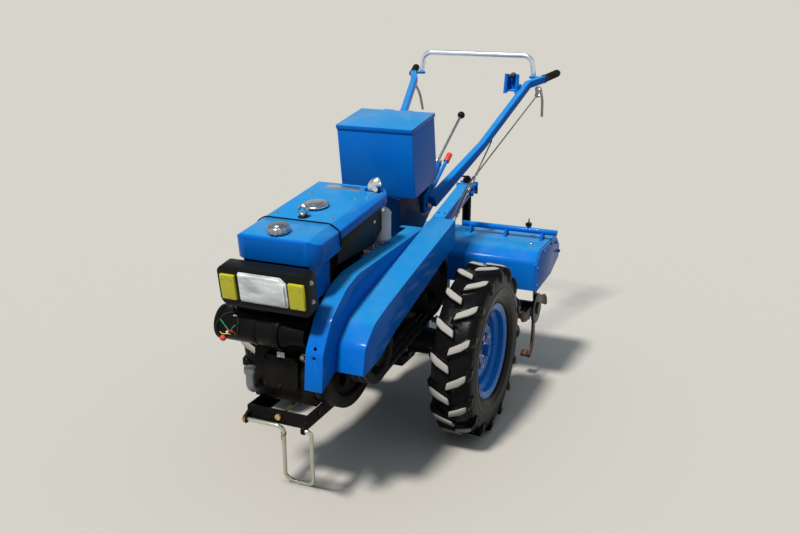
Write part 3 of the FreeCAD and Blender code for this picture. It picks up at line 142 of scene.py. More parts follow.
def noise(tree, scale, detail=4, where=None, low=0.35, high=0.65):
    # A cloudy mask from 0 to 1, with its soft edge between low and high
    texture = tree.nodes.new("ShaderNodeTexNoise")
    texture.inputs["Scale"].default_value = scale
    texture.inputs["Detail"].default_value = detail
    tree.links.new(where or objectCoords(tree), texture.inputs["Vector"])
    return band(tree, texture.outputs["Fac"], low, high)


def band(tree, value, low, high, fromValue=0.0, toValue=1.0):
    node = tree.nodes.new("ShaderNodeMapRange")
    node.interpolation_type = "SMOOTHSTEP"
    for socket, number in zip(("From Min", "From Max", "To Min", "To Max"), (low, high, fromValue, toValue)):
        node.inputs[socket].default_value = number
    tree.links.new(value, node.inputs["Value"])
    return node.outputs["Result"]


def maths(tree, operation, a, b=None):
    node = tree.nodes.new("ShaderNodeMath")
    node.operation = operation
    for socket, value in zip(node.inputs, (a, b)):
        if isinstance(value, (int, float)):
            socket.default_value = value
        elif value is not None:
            tree.links.new(value, socket)
    return node.outputs[0]


def mixColour(tree, mask, a, b):
    node = tree.nodes.new("ShaderNodeMix")
    node.data_type = "RGBA"
    for socket, value in ((node.inputs[0], mask), (node.inputs[6], a), (node.inputs[7], b)):
        if isinstance(value, tuple):
            socket.default_value = (*value, 1)
        elif isinstance(value, (int, float)):
            socket.default_value = value
        else:
            tree.links.new(value, socket)
    return node.outputs[2]


def upwards(tree, low=0.2, high=0.9):
    # 1 on faces that look up, where dust settles; the blue paint's painted light on its top uses it too
    geometry = tree.nodes.new("ShaderNodeNewGeometry")
    split = tree.nodes.new("ShaderNodeSeparateXYZ")
    tree.links.new(geometry.outputs["Normal"], split.inputs[0])
    return band(tree, split.outputs["Z"], low, high)


def addBump(tree, shader, height, distance, strength=1.0):
    bump = tree.nodes.new("ShaderNodeBump")
    bump.inputs["Distance"].default_value = distance
    bump.inputs["Strength"].default_value = strength
    tree.links.new(height, bump.inputs["Height"])
    tree.links.new(bump.outputs["Normal"], shader.inputs["Normal"])


def fromCentre(tree, centre):
    # How far a point is from the crosswise line through centre
    length = tree.nodes.new("ShaderNodeVectorMath")
    length.operation = "LENGTH"
    tree.links.new(objectCoords(tree, centre, (1, 0, 1)), length.inputs[0])
    return length.outputs["Value"]


# The paler third blue is painted light, laid on the blue paint's faces that look up
finishSet = {
    "blue": (0.0025, 0.15, 0.58), "deepBlue": (0.002, 0.125, 0.51), "paleBlue": (0.014, 0.215, 0.5),
    "dust": (0.36, 0.34, 0.3), "black": (0.004, 0.004, 0.0045), "iron": (0.006, 0.0058, 0.0056),
    "brown": (0.016, 0.013, 0.01), "darkIron": (0.009, 0.01, 0.013), "rubber": (0.0045, 0.0045, 0.005), "lugTop": (0.37, 0.35, 0.315), "rust": (0.16, 0.065, 0.03),
}


def paint(name, colour, shade, roughness, dust, coat=0.06, specular=0.035, peel=0.2, top=None):
    # Sprayed enamel: slight tone changes, orange peel, and road dust on what faces up; top, if given, is painted light:
    # a paler tone on faces that look up, as if lit from above
    material, tree, shader = newMaterial(name, colour, roughness, coat=coat, specular=specular)
    tone = noise(tree, 4, 4, low=0.3, high=0.7)
    base = mixColour(tree, tone, colour, shade)
    # Painted light: the top colour brightens faces that look up
    if top:
        base = mixColour(tree, upwards(tree, 0.62, 1.0), base, top)
    settled = maths(tree, "MULTIPLY", upwards(tree), noise(tree, 18, 8, low=0.35, high=0.85))
    specks = maths(tree, "MULTIPLY", noise(tree, 300, 2, low=0.68, high=0.74), 0.6)
    dirt = maths(tree, "MULTIPLY", maths(tree, "MAXIMUM", settled, specks), dust)
    tree.links.new(mixColour(tree, dirt, base, finishSet["dust"]), shader.inputs["Base Color"])
    rough = maths(tree, "ADD", maths(tree, "MULTIPLY", dirt, 0.8), maths(tree, "MULTIPLY", tone, 0.05))
    tree.links.new(maths(tree, "ADD", rough, roughness), shader.inputs["Roughness"])
    addBump(tree, shader, noise(tree, 420, 3, low=0, high=1), 0.0002, peel)
    return material


def castIron(name, colour, shade, roughness, dust):
    # Painted rough casting, its grain showing through the paint
    material, tree, shader = newMaterial(name, colour, roughness, specular=0.08)
    grime = noise(tree, 9, 8, low=0.4, high=0.75)
    settled = maths(tree, "MULTIPLY", upwards(tree, 0.1, 0.8), noise(tree, 30, 8, low=0.35, high=0.8))
    base = mixColour(tree, grime, colour, shade)
    dirt = maths(tree, "MULTIPLY", settled, dust)
    tree.links.new(mixColour(tree, dirt, base, finishSet["dust"]), shader.inputs["Base Color"])
    tree.links.new(maths(tree, "ADD", maths(tree, "MULTIPLY", grime, 0.2), roughness), shader.inputs["Roughness"])
    addBump(tree, shader, noise(tree, 170, 5, low=0, high=1), 0.0006, 0.5)
    return material


def axlePaint(name, dark, tip):
    # The housing is dark like the gearbox, and the nose that shows in the hub is blue
    material = castIron(name, dark, finishSet["brown"], 0.42, 0.12)
    tree = material.node_tree
    colour = tree.nodes["Principled BSDF"].inputs["Base Color"]
    split = tree.nodes.new("ShaderNodeSeparateXYZ")
    tree.links.new(objectCoords(tree), split.inputs[0])
    nose = band(tree, maths(tree, "ABSOLUTE", split.outputs["Y"]), 0.33, 0.335)
    tree.links.new(mixColour(tree, nose, colour.links[0].from_socket, tip), colour)
    return material


def metal(name, colour, roughness, streak=0.1, stain=0.62, grain=60):
    material, tree, shader = newMaterial(name, colour, roughness, 1.0)
    marks = noise(tree, grain, 6, low=0.2, high=0.8)
    tree.links.new(maths(tree, "ADD", maths(tree, "MULTIPLY", marks, streak), roughness), shader.inputs["Roughness"])
    dull = noise(tree, 14, 6, low=0.5, high=0.85)
    tree.links.new(mixColour(tree, dull, colour, tuple(c * stain for c in colour)), shader.inputs["Base Color"])
    addBump(tree, shader, marks, 0.0002, 0.15)
    return material


def zincPlate(name, colour, sheen, green, roughness=0.3):
    # Passivated zinc, with its faint sheen of other tints in patches
    material, tree, shader = newMaterial(name, colour, roughness, 0.85)
    violet, leaf = noise(tree, 34, 3, low=0.5, high=0.75), noise(tree, 21, 3, low=0.45, high=0.75)
    tree.links.new(mixColour(tree, leaf, mixColour(tree, violet, colour, sheen), green), shader.inputs["Base Color"])
    addBump(tree, shader, noise(tree, 300, 3, low=0, high=1), 0.0002, 0.3)
    return material


def plastic(name, colour, roughness, grain=900, worn=(0.12, 0.12, 0.12), wear=0.15, coat=0.0, specular=0.3):
    material, tree, shader = newMaterial(name, colour, roughness, coat=coat, specular=specular)
    marks = maths(tree, "MULTIPLY", noise(tree, 40, 8, low=0.5, high=0.8), wear)
    tree.links.new(mixColour(tree, marks, colour, worn), shader.inputs["Base Color"])
    addBump(tree, shader, noise(tree, grain, 2, low=0, high=1), 0.0003, 0.3)
    return material


def flutedGlass(name):
    # A moulded lamp glass: upright flutes, and swirls of painted light and dark in its colour, a painted reflection of
    # a bright reflector behind it
    material, tree, shader = newMaterial(name, (0.6, 0.64, 0.64), 0.12, coat=0.6)
    swirl = noise(tree, 9, 3, objectCoords(tree, (0, 0, 0), (1, 1, 3.2)), 0.36, 0.6)
    streak = noise(tree, 30, 4, objectCoords(tree, (0, 0, 0), (1, 0.5, 2.6)), 0.35, 0.7)
    # Painted reflection: the glass's colour swings between grey and near-white in swirls and streaks
    paintedReflection = maths(tree, "MULTIPLY", maths(tree, "ADD", swirl, streak), 0.5)
    tree.links.new(mixColour(tree, paintedReflection, (0.4, 0.43, 0.44), (0.88, 0.9, 0.88)), shader.inputs["Base Color"])
    flutes = tree.nodes.new("ShaderNodeTexWave")
    flutes.bands_direction = "Y"
    flutes.inputs["Scale"].default_value = 55
    flutes.inputs["Distortion"].default_value = 1.2
    flutes.inputs["Detail Scale"].default_value = 0.4
    tree.links.new(objectCoords(tree), flutes.inputs["Vector"])
    addBump(tree, shader, flutes.outputs["Fac"], 0.0012, 0.6)
    return material


def tyreRubber(name, centre):
    # Shiny black walls; the lugs' flat tops are pale with road dust, with a crisp edge
    material, tree, shader = newMaterial(name, finishSet["rubber"], 0.3, specular=0.08)
    radius = fromCentre(tree, centre)
    tops = maths(tree, "MULTIPLY", band(tree, radius, 0.3045, 0.3065), noise(tree, 40, 8, low=0.05, high=0.3))
    film = maths(tree, "MULTIPLY", noise(tree, 12, 6, low=0.5, high=0.9), 0.008)
    low = maths(tree, "MULTIPLY", band(tree, radius, 0.284, 0.302), noise(tree, 30, 8, low=0.5, high=0.8))
    dusty = maths(tree, "MAXIMUM", tops, maths(tree, "MAXIMUM", film, maths(tree, "MULTIPLY", low, 0.04)))
    tree.links.new(mixColour(tree, dusty, finishSet["rubber"], finishSet["lugTop"]), shader.inputs["Base Color"])
    tree.links.new(band(tree, dusty, 0, 0.6, 0.29, 0.9), shader.inputs["Roughness"])
    addBump(tree, shader, noise(tree, 160, 5, low=0, high=1), 0.0007, 0.3)
    return material


def tineSteel(name, centre):
    # Black paint that the soil has worn to brown rust towards the blades' ends
    material, tree, shader = newMaterial(name, finishSet["black"], 0.45, specular=0.4)
    worn = band(tree, fromCentre(tree, centre), 0.09, 0.17)
    worn = maths(tree, "MULTIPLY", worn, noise(tree, 26, 8, low=0.2, high=0.6))
    rust = mixColour(tree, noise(tree, 70, 6), finishSet["rust"], finishSet["brown"])
    tree.links.new(mixColour(tree, worn, finishSet["black"], rust), shader.inputs["Base Color"])
    tree.links.new(maths(tree, "ADD", maths(tree, "MULTIPLY", worn, 0.35), 0.42), shader.inputs["Roughness"])
    addBump(tree, shader, noise(tree, 210, 6, low=0, high=1), 0.0005, 0.5)
    return material


makeCamera(cameraSet)
makeLights(lightSet)
bpy.context.scene.view_settings.view_transform = "Standard"
print("camera and lights set")

blue, deepBlue = finishSet["blue"], finishSet["deepBlue"]
black, iron, brown = finishSet["black"], finishSet["iron"], finishSet["brown"]
materials = {
    # The blue paint's paler top is painted light
    "blue_paint": paint("bluePaint", blue, deepBlue, 0.2, 0.07, top=finishSet["paleBlue"]),
    "blue_iron": castIron("bluePaintOnIron", blue, tuple(c * 0.8 for c in deepBlue), 0.36, 0.25),
    "black_paint": paint("blackPaint", black, iron, 0.3, 0.02, 0.02, 0.05),
    "black_iron": castIron("blackPaintOnIron", iron, brown, 0.4, 0.06),
    "steel": metal("machinedSteel", (0.5, 0.49, 0.46), 0.28),
    "chrome": metal("chromePlate", (0.84, 0.86, 0.88), 0.06, 0.05, 0.9),
    "zinc": zincPlate("greenishZinc", (0.6, 0.61, 0.5), (0.56, 0.54, 0.5), (0.5, 0.56, 0.42)),
    "grey_paint": paint("silverPaint", (0.5, 0.51, 0.52), (0.38, 0.39, 0.4), 0.38, 0.25, 0.0, 0.5),
    "plastic_black": plastic("blackPlastic", (0.007, 0.007, 0.0075), 0.34, 900, (0.02, 0.02, 0.02), 0.15, 0.03, 0.1),
    "lens": flutedGlass("flutedGlass"),
    "amber": plastic("yellowLens", (0.5, 0.47, 0.012), 0.2, 160, (0.3, 0.26, 0.02), 0.3, 0.4),
    "rubber": plastic("blackRubber", (0.009, 0.009, 0.009), 0.5, 700, (0.06, 0.06, 0.055)),
    "red_plastic": plastic("redPlastic", (0.66, 0.05, 0.035), 0.35, 700, (0.5, 0.14, 0.11), 0.3),
}
nodeMaterials = {
    "rotor": tineSteel("wornTines", sum(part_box("rotor"), Vector()) / 2),
    "draw_bolt": zincPlate("yellowZinc", (0.62, 0.46, 0.16), (0.5, 0.36, 0.36), (0.5, 0.46, 0.2)),
    "squeeze_levers": metal("dullSteelLever", (0.36, 0.36, 0.34), 0.42),
    "hoop": zincPlate("brightZinc", (0.8, 0.86, 0.92), (0.7, 0.78, 0.86), (0.86, 0.9, 0.92), 0.3),
    # Painted shade: the post under the tool box gets a near-black navy for the box's shadow on its blue paint
    "handle_post": paint("deepBluePaint", (0.0008, 0.014, 0.06), (0.0006, 0.009, 0.038), 0.25, 0.03),
    "oil_filler": metal("dullFillerPipe", (0.24, 0.25, 0.27), 0.42),
    "radiator_cap": metal("dullChromeCap", (0.4, 0.43, 0.47), 0.24),
    "fuel_cap": metal("brushedCap", (0.6, 0.62, 0.65), 0.16),
    "exhaust_tip": metal("satinPipe", (0.84, 0.87, 0.9), 0.24, 0.05, 0.85),
    "control_rods": metal("tanRods", (0.42, 0.38, 0.31), 0.4),
    "clutch_knob": plastic("greyKnob", (0.03, 0.033, 0.038), 0.4),
}
nodeMaterials["gearbox"] = castIron("darkPaintOnIron", finishSet["darkIron"], brown, 0.42, 0.12)
axleFinish = axlePaint("axlePaint", finishSet["darkIron"], deepBlue)
# Painted light: the rims get a brighter copy of the blue paint, to look more lit than the body
rimPaint = paint("rimPaint", (0.002, 0.2, 0.66), (0.0018, 0.17, 0.58), 0.16, 0.03, 0.2, 0.1)
for side in ("left", "right"):
    centre = Vector((axle.x, 0, axle.z))
    nodeMaterials["tyre_" + side] = tyreRubber("tyreRubber_" + side, centre)
    nodeMaterials["rim_" + side] = rimPaint
    nodeMaterials["axle_" + side] = axleFinish
extraMaterials = {
    "plate": metal("blankPlate", (0.8, 0.82, 0.84), 0.22, 0.1, 0.9),
    "copper": metal("copperWasher", (0.7, 0.28, 0.12), 0.3),
    "brass": metal("oliveBrass", (0.32, 0.3, 0.14), 0.45),
    "whiteTag": plastic("whiteTag", (0.75, 0.75, 0.72), 0.5, 300, (0.5, 0.5, 0.48)),
    "greenWire": plastic("greenWire", (0.005, 0.3, 0.14), 0.4, 700),
    "yellowWire": plastic("yellowWire", (0.62, 0.55, 0.01), 0.4, 700),
    "redWire": plastic("redWire", (0.6, 0.015, 0.01), 0.4, 700),
    "blackWire": plastic("blackWire", (0.01, 0.01, 0.01), 0.45, 700),
    "seal": plastic("sealRubber", (0.003, 0.003, 0.004), 0.6, 700, (0.01, 0.01, 0.01), specular=0.05),
}
print("materials made")


# CAD pieces, their edges eased
edgeSet = {"default": 0.0012, "sharp": 32, "flat": 1.0,
           "width": {"tyre_left": 0.0055, "tyre_right": 0.0055, "rotor": 0.001, "tool_box": 0.0006, "box_lid": 0.0009,
                     "fuel_tank": 0.002, "radiator_shell": 0.002, "engine": 0.003, "gearbox": 0.004,
                     "tiller_case": 0.003, "lamp_lens": 0.002, "belt_guard": 0.0012, "flywheel_guard": 0.0012},
           "grow": {"hoop": 0.0012}, "rounder": ("tyre_left", "tyre_right")}


def easedCopy(node, width):
    # The node's own shape with its edges a little rounded, so that they catch the light
    copy = bpy.data.objects.new(node + "_eased", cadNodes[node].data.copy())
    bpy.context.scene.collection.objects.link(copy)
    mesh = bmesh.new()
    mesh.from_mesh(copy.data)
    bmesh.ops.remove_doubles(mesh, verts=mesh.verts, dist=1e-5)
    bmesh.ops.dissolve_limit(mesh, angle_limit=math.radians(edgeSet["flat"]), verts=mesh.verts, edges=mesh.edges)
    mesh.to_mesh(copy.data)
    mesh.free()
    copy.data.shade_smooth()
    copy.data.set_sharp_from_angle(angle=math.radians(edgeSet["sharp"]))
    bevel = copy.modifiers.new("eased", "BEVEL")
    bevel.width, bevel.segments = width, 2
    bevel.limit_method, bevel.angle_limit = "ANGLE", math.radians(edgeSet["sharp"])
    bevel.harden_normals = False
    bevel.use_clamp_overlap = node not in edgeSet["rounder"]
    result = bpy.data.meshes.new_from_object(copy.evaluated_get(bpy.context.evaluated_depsgraph_get()))
    outward = [vert.normal.copy() for vert in result.vertices]
    for vert, way in zip(result.vertices, outward):
        vert.co += way * edgeSet["grow"].get(node, 0)
    copy.modifiers.clear()
    copy.data = result
    result.shade_smooth()
    result.set_sharp_from_angle(angle=math.radians(edgeSet["sharp"]))
    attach(copy, bodyOfNode[node])
    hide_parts(node)
    return copy


for node in cadNodes:
    piece = easedCopy(node, edgeSet["width"].get(node, edgeSet["default"]))
    piece.data.materials.clear()
    piece.data.materials.append(nodeMaterials.get(node) or materials[slotOfNode[node]])
print("CAD pieces dressed")


# Tools for the small pieces
surfaces = {}


def seated(node, start, towards):
    # Where a straight look from start first meets the node, and which way its surface faces there
    if node not in surfaces:
        mesh = cadNodes[node].data
        surfaces[node] = BVHTree.FromPolygons([v.co for v in mesh.vertices], [p.vertices for p in mesh.polygons])
    towards = Vector(towards).normalized()
    spot, normal, _, _ = surfaces[node].ray_cast(start, towards)
    if spot is None:
        raise ValueError(f"no surface of {node} at {tuple(start)}")
    return spot, -normal if normal.dot(towards) > 0 else normal


def addTurned(work, profile, start, along=(0, 0, 1), sides=24, ring=False):
    # Profile rows are (radius, height) in mm, counted from start; a ring's last row joins its first
    turn = Vector(along).to_track_quat("Z", "Y").to_matrix()
    rows = []
    for radius, height in profile:
        angles = [2 * math.pi * k / sides for k in range(sides)] if radius > 1e-6 else [0]
        spots = [Vector((radius * math.cos(a), radius * math.sin(a), height)) / 1000 for a in angles]
        rows.append([work.verts.new(start + turn @ spot) for spot in spots])
    for low, high in zip(rows, rows[1:] + rows[:1] if ring else rows[1:]):
        for k in range(sides):
            after = (k + 1) % sides
            corners = [low[k % len(low)], low[after % len(low)], high[after % len(high)], high[k % len(high)]]
            work.faces.new(list(dict.fromkeys(corners)))


def addBox(work, centre, size, turn=None, ease=0.0):
    # Size in mm along the box's own axes
    made = bmesh.ops.create_cube(work, size=1)["verts"]
    turn = turn or Matrix.Identity(3)
    for vert in made:
        vert.co = centre + turn @ Vector([a * b / 1000 for a, b in zip(vert.co, size)])
    if ease:
        edges = list({edge for vert in made for edge in vert.link_edges})
        bmesh.ops.bevel(work, geom=edges, offset=ease / 1000, segments=2, affect="EDGES", profile=0.5)


def finished(name, work, body, slot, material=None, sharp=35):
    mesh = bpy.data.meshes.new(name)
    work.to_mesh(mesh)
    work.free()
    mesh.materials.append(material or materials[slot])
    mesh.shade_smooth()
    mesh.set_sharp_from_angle(angle=math.radians(sharp))
    piece = bpy.data.objects.new(name, mesh)
    bpy.context.scene.collection.objects.link(piece)
    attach(piece, body)
    return piece


def newTree(name, sockets):
    tree = bpy.data.node_groups.new(name, "GeometryNodeTree")
    for label, kind in [("Geometry", "Geometry")] + sockets:
        tree.interface.new_socket(label, in_out="INPUT", socket_type="NodeSocket" + kind)
    tree.interface.new_socket("Geometry", in_out="OUTPUT", socket_type="NodeSocketGeometry")
    return tree, tree.nodes.new("NodeGroupInput"), tree.nodes.new("NodeGroupOutput")


def addNode(tree, kind, links=(), **settings):
    # Links are (input's name or number, the output that feeds it)
    node = tree.nodes.new(kind)
    for key, value in settings.items():
        setattr(node, key, value)
    for socket, source in links:
        tree.links.new(source, node.inputs[socket])
    return node


def namedAttribute(tree, name, kind):
    node = addNode(tree, "GeometryNodeInputNamedAttribute", data_type=kind)
    node.inputs["Name"].default_value = name
    return node.outputs["Attribute"]


def copiesOnPoints():
    # A copy of the piece on each point, turned to face along the point's own direction
    tree, start, end = newTree("copiesOnPoints", [("Piece", "Object"), ("Finish", "Material")])
    piece = addNode(tree, "GeometryNodeObjectInfo", [("Object", start.outputs["Piece"])])
    facing = addNode(tree, "FunctionNodeAlignRotationToVector", [("Vector", namedAttribute(tree, "facing", "FLOAT_VECTOR"))],
                     axis="Z")
    spin = addNode(tree, "FunctionNodeAxisAngleToRotation", [("Angle", namedAttribute(tree, "turn", "FLOAT"))])
    spin.inputs["Axis"].default_value = (0, 0, 1)
    turned = addNode(tree, "FunctionNodeRotateRotation", [("Rotation", facing.outputs[0]), ("Rotate By", spin.outputs[0])],
                     rotation_space="LOCAL")
    copies = addNode(tree, "GeometryNodeInstanceOnPoints",
                     [("Points", start.outputs["Geometry"]), ("Instance", piece.outputs["Geometry"]),
                      ("Rotation", turned.outputs[0]), ("Scale", namedAttribute(tree, "size", "FLOAT_VECTOR"))])
    return closed(tree, copies.outputs[0], start, end)


def closed(tree, geometry, start, end):
    real = addNode(tree, "GeometryNodeRealizeInstances", [("Geometry", geometry)])
    dressed = addNode(tree, "GeometryNodeSetMaterial", [("Geometry", real.outputs[0]), ("Material", start.outputs["Finish"])])
    tree.links.new(dressed.outputs[0], end.inputs[0])
    return tree


def tubesAlongLines():
    # A round tube along each line of the mesh, smoothed through its points
    tree, start, end = newTree("tubesAlongLines", [("Radius", "Float"), ("Sides", "Int"), ("Steps", "Int"),
                                                   ("Finish", "Material")])
    line = addNode(tree, "GeometryNodeMeshToCurve", [("Mesh", start.outputs["Geometry"])])
    smooth = addNode(tree, "GeometryNodeCurveSplineType", [("Curve", line.outputs[0])], spline_type="CATMULL_ROM")
    even = addNode(tree, "GeometryNodeResampleCurve", [("Curve", smooth.outputs[0]), ("Count", start.outputs["Steps"])])
    ring = addNode(tree, "GeometryNodeCurvePrimitiveCircle",
                   [("Resolution", start.outputs["Sides"]), ("Radius", start.outputs["Radius"])])
    tube = addNode(tree, "GeometryNodeCurveToMesh", [("Curve", even.outputs[0]), ("Profile Curve", ring.outputs[0])])
    tube.inputs["Fill Caps"].default_value = True
    return closed(tree, tube.outputs[0], start, end)


def copiesAlongLines():
    # Even copies of the piece along each line, each facing along the line
    tree, start, end = newTree("copiesAlongLines", [("Piece", "Object"), ("Count", "Int"), ("Finish", "Material")])
    piece = addNode(tree, "GeometryNodeObjectInfo", [("Object", start.outputs["Piece"])])
    line = addNode(tree, "GeometryNodeMeshToCurve", [("Mesh", start.outputs["Geometry"])])
    even = addNode(tree, "GeometryNodeResampleCurve", [("Curve", line.outputs[0]), ("Count", start.outputs["Count"])])
    way = addNode(tree, "GeometryNodeInputTangent")
    facing = addNode(tree, "FunctionNodeAlignRotationToVector", [("Vector", way.outputs[0])], axis="Z")
    copies = addNode(tree, "GeometryNodeInstanceOnPoints",
                     [("Points", even.outputs[0]), ("Instance", piece.outputs["Geometry"]), ("Rotation", facing.outputs[0])])
    return closed(tree, copies.outputs[0], start, end)


def grown(name, tree, mesh, values, body, slot, material=None, sharp=35):
    # Runs the tree on the mesh, and keeps the plain result as a piece
    piece = bpy.data.objects.new(name, mesh)
    bpy.context.scene.collection.objects.link(piece)
    values = {**values, "Finish": material or materials[slot]}
    modifier = piece.modifiers.new("grown", "NODES")
    modifier.node_group = tree
    for socket in tree.interface.items_tree:
        if socket.in_out == "INPUT" and socket.name in values:
            modifier[socket.identifier] = values[socket.name]
    result = bpy.data.meshes.new_from_object(piece.evaluated_get(bpy.context.evaluated_depsgraph_get()))
    piece.modifiers.clear()
    piece.data = result
    result.materials.clear()
    result.materials.append(values["Finish"])
    result.shade_smooth()
    result.set_sharp_from_angle(angle=math.radians(sharp))
    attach(piece, body)
    return piece


def lineMesh(name, lines):
    verts = [spot for line in lines for spot in line]
    edges, first = [], 0
    for line in lines:
        edges += [(first + k, first + k + 1) for k in range(len(line) - 1)]
        first += len(line)
    mesh = bpy.data.meshes.new(name)
    mesh.from_pydata([tuple(v) for v in verts], edges, [])
    return mesh


def tubes(name, lines, radius, body, slot, material=None, sides=10, steps=24):
    values = {"Radius": radius / 1000, "Sides": sides, "Steps": steps}
    return grown(name, tubeTree, lineMesh(name, lines), values, body, slot, material)


def pointMesh(name, rows):
    # Rows are (spot, facing, size, turn); size is one number or three
    mesh = bpy.data.meshes.new(name)
    mesh.from_pydata([tuple(row[0]) for row in rows], [], [])
    for label, kind in (("facing", "FLOAT_VECTOR"), ("size", "FLOAT_VECTOR"), ("turn", "FLOAT")):
        mesh.attributes.new(label, kind, "POINT")
    for k, (_, way, scale, angle) in enumerate(rows):
        mesh.attributes["facing"].data[k].vector = way
        mesh.attributes["size"].data[k].vector = scale if isinstance(scale, tuple) else (scale,) * 3
        mesh.attributes["turn"].data[k].value = angle
    return mesh


pointTree, tubeTree, rowTree = copiesOnPoints(), tubesAlongLines(), copiesAlongLines()


# Fasteners: each pattern is one unit across its foot's radius, and its copies are sized in mm
patternSet = {
    "hexHead": [([(0, 0), (1.16, 0), (1.16, 0.14), (1.08, 0.2), (0, 0.2)], 20),
                ([(0, 0.18), (0.86, 0.18), (0.86, 0.72), (0.74, 0.84), (0, 0.86)], 6)],
    "hexNut": [([(0, 0), (1.16, 0), (1.16, 0.14), (1.08, 0.2), (0, 0.2)], 20),
               ([(0, 0.18), (0.86, 0.18), (0.86, 0.86), (0.76, 0.98), (0, 0.98)], 6),
               ([(0, 0.9), (0.44, 0.9), (0.44, 1.28), (0.36, 1.38), (0, 1.38)], 12)],
    "panHead": [([(0, 0), (1, 0), (1, 0.16), (0.84, 0.42), (0.5, 0.56), (0.34, 0.56), (0.26, 0.3), (0, 0.28)], 20)],
    "rivet": [([(0, 0), (1, 0), (0.92, 0.26), (0.66, 0.46), (0.3, 0.55), (0, 0.57)], 14)],
    "vent": [([(0, -0.2), (0.09, -0.2), (0.07, 0.7), (0, 1)], 5)],
    "valve": [([(0, -3), (5.5, -3), (5.5, 2), (4, 6), (3.2, 16), (2.3, 18), (2.3, 30), (3.4, 31), (3.4, 40), (2.8, 42),
                (0, 42)], 14)],
}
patterns = {}
for label, solids in patternSet.items():
    work = bmesh.new()
    for profile, sides in solids:
        addTurned(work, [(r * 1000, h * 1000) for r, h in profile], Vector(), sides=sides)
    mesh = bpy.data.meshes.new(label)
    work.to_mesh(mesh)
    work.free()
    patterns[label] = bpy.data.objects.new(label, mesh)

fastenerRows = {}


def fasten(pattern, slot, node, spots, towards, size, material=None, sink=0.0003):
    # Spots in mm as for at(); each fastener goes to where the look from its spot meets the node
    for k, spot in enumerate(spots):
        place, facing = seated(node, at(*spot), towards)
        scale = tuple(v / 1000 for v in (size if isinstance(size, tuple) else (size,) * 3))
        key = (pattern, slot, bodyOfNode[node], material)
        fastenerRows.setdefault(key, []).append((place - facing * sink, facing, scale, 0.7 * k + spot[2] * 0.37))


def circleOf(count, radius, centre, y, phase=0.0):
    angles = [math.radians(phase) + 2 * math.pi * k / count for k in range(count)]
    return [(centre[0] + radius * math.cos(a), y, centre[1] + radius * math.sin(a)) for a in angles]


screwSet = {"hood": 6.5, "lamp": 6.0, "engine": 8.0, "gearbox": 9.5, "sheet": 7.0, "frame": 9.5, "rivet": 3.6}
s = screwSet
fasten("panHead", "steel", "fuel_tank", [(385, -82, 1000), (580, -90, 1000), (575, 97, 1000), (389, 82, 1000)],
       (0, 0, -1), s["hood"])
fasten("rivet", "steel", "fuel_tank", [(299, -52, 1000), (299, 57, 1000), (326, -52, 1000), (326, 57, 1000)],
       (0, 0, -1), 2.6, sink=-0.0008)
for side in (-1, 1):
    fasten("panHead", "steel", "radiator_core", [(346, 300 * side, 839)], (0, -side, 0), 6)
    fasten("hexHead", "steel", "lamp_housing", [(803, 300 * side, 774), (795, 300 * side, 716)], (0, -side, 0), s["lamp"])
fasten("panHead", "steel", "indicators", [(950, y * k, z) for k in (-1, 1) for y, z in ((99, 757), (126, 757), (112, 699))],
       (-1, 0, 0), 2.4, extraMaterials["brass"])
fasten("hexHead", "black_iron", "engine", [(x, -300, z) for x, z in (
    (486, 388), (560, 382), (634, 388), (656, 460), (655, 540), (634, 612), (560, 622), (490, 612), (476, 540),
    (476, 460))], (0, 1, 0), s["engine"])
fasten("hexHead", "black_iron", "engine", [(900, y, z) for y in (-60, -9, 42) for z in (402, 490)], (-1, 0, 0), 6.5)
fasten("hexHead", "black_iron", "engine", [(900, y, z) for y, z in ((-98, 540), (-98, 650), (80, 650), (80, 470))],
       (-1, 0, 0), 8)
fasten("hexNut", "black_iron", "engine", [(100, y, z) for y in (-70, 68) for z in (440, 515, 590)], (1, 0, 0), 7)
fasten("hexNut", "steel", "engine", [(x, y, 900) for x in (212, 225) for y in (-84, 80)], (0, 0, -1), 7)
fasten("hexNut", "steel", "engine", [(330, -300, 560), (212, -300, 500)], (0, 1, 0), (7, 7, 8))
for side in (-1, 1):
    look = (0, -side, 0)
    fasten("hexHead", "steel", "gearbox", [(x, 300 * side, z) for x, z in (
        (-120, 300), (-56, 262), (48, 276), (-84, 545), (-134, 470), (-136, 380))], look, s["gearbox"])
    fasten("hexHead", "steel", "axle_left" if side > 0 else "axle_right", circleOf(8, 61, (0, 313), 400 * side, 22.5),
           look, 8)
    fasten("hexHead", "black_iron", "frame", [(x, 300 * side, 319) for x in (150, 205, 330, 440, 600, 700)], look, s["frame"])
    fasten("hexHead", "steel", "tiller_case", [(-400, side * 88, z) for z in (268, 345, 422)], (1, 0, 0), s["gearbox"])
    plates = [(-352, 700 * side, 460), (-352, 700 * side, 530), (-440, 700 * side, 576), (-560, 700 * side, 576),
              (-640, 700 * side, 560), (-690, 700 * side, 510)]
    fasten("hexHead", "blue_paint", "tiller_end_plates", plates, look, s["sheet"])
    fasten("hexHead", "steel", "handlebar_left" if side > 0 else "handlebar_right",
           [(x, 400 * side, 780) for x in (-238, -172)], look, 9)
fasten("hexNut", "steel", "gearbox", circleOf(6, 53, (110, 583), 400, 15), (0, -1, 0), 5.5)
fasten("hexHead", "steel", "tiller_hood", [(x, y, 800) for x in (-450, -610) for y in (-430, -220, 220, 430)],
       (0, 0, -1), s["sheet"])
fasten("hexNut", "steel", "tail_arm", [(-1100, y, z) for y in (-32, 32) for z in (674, 702)], (1, 0, 0), 6)
fasten("hexHead", "blue_paint", "tail_arm", [(-590, y, 700) for y in (-14, 14)], (0, 0, -1), 6)
fasten("rivet", "blue_paint", "box_lid", [(-400, y, 1092) for y in (-48, -26, 25, 47)], (1, 0, 0), s["rivet"])
fasten("panHead", "steel", "starter", [(740 + x, -400, 588 + z) for x, z in ((30, 14), (-30, -14))], (0, 1, 0), 4)
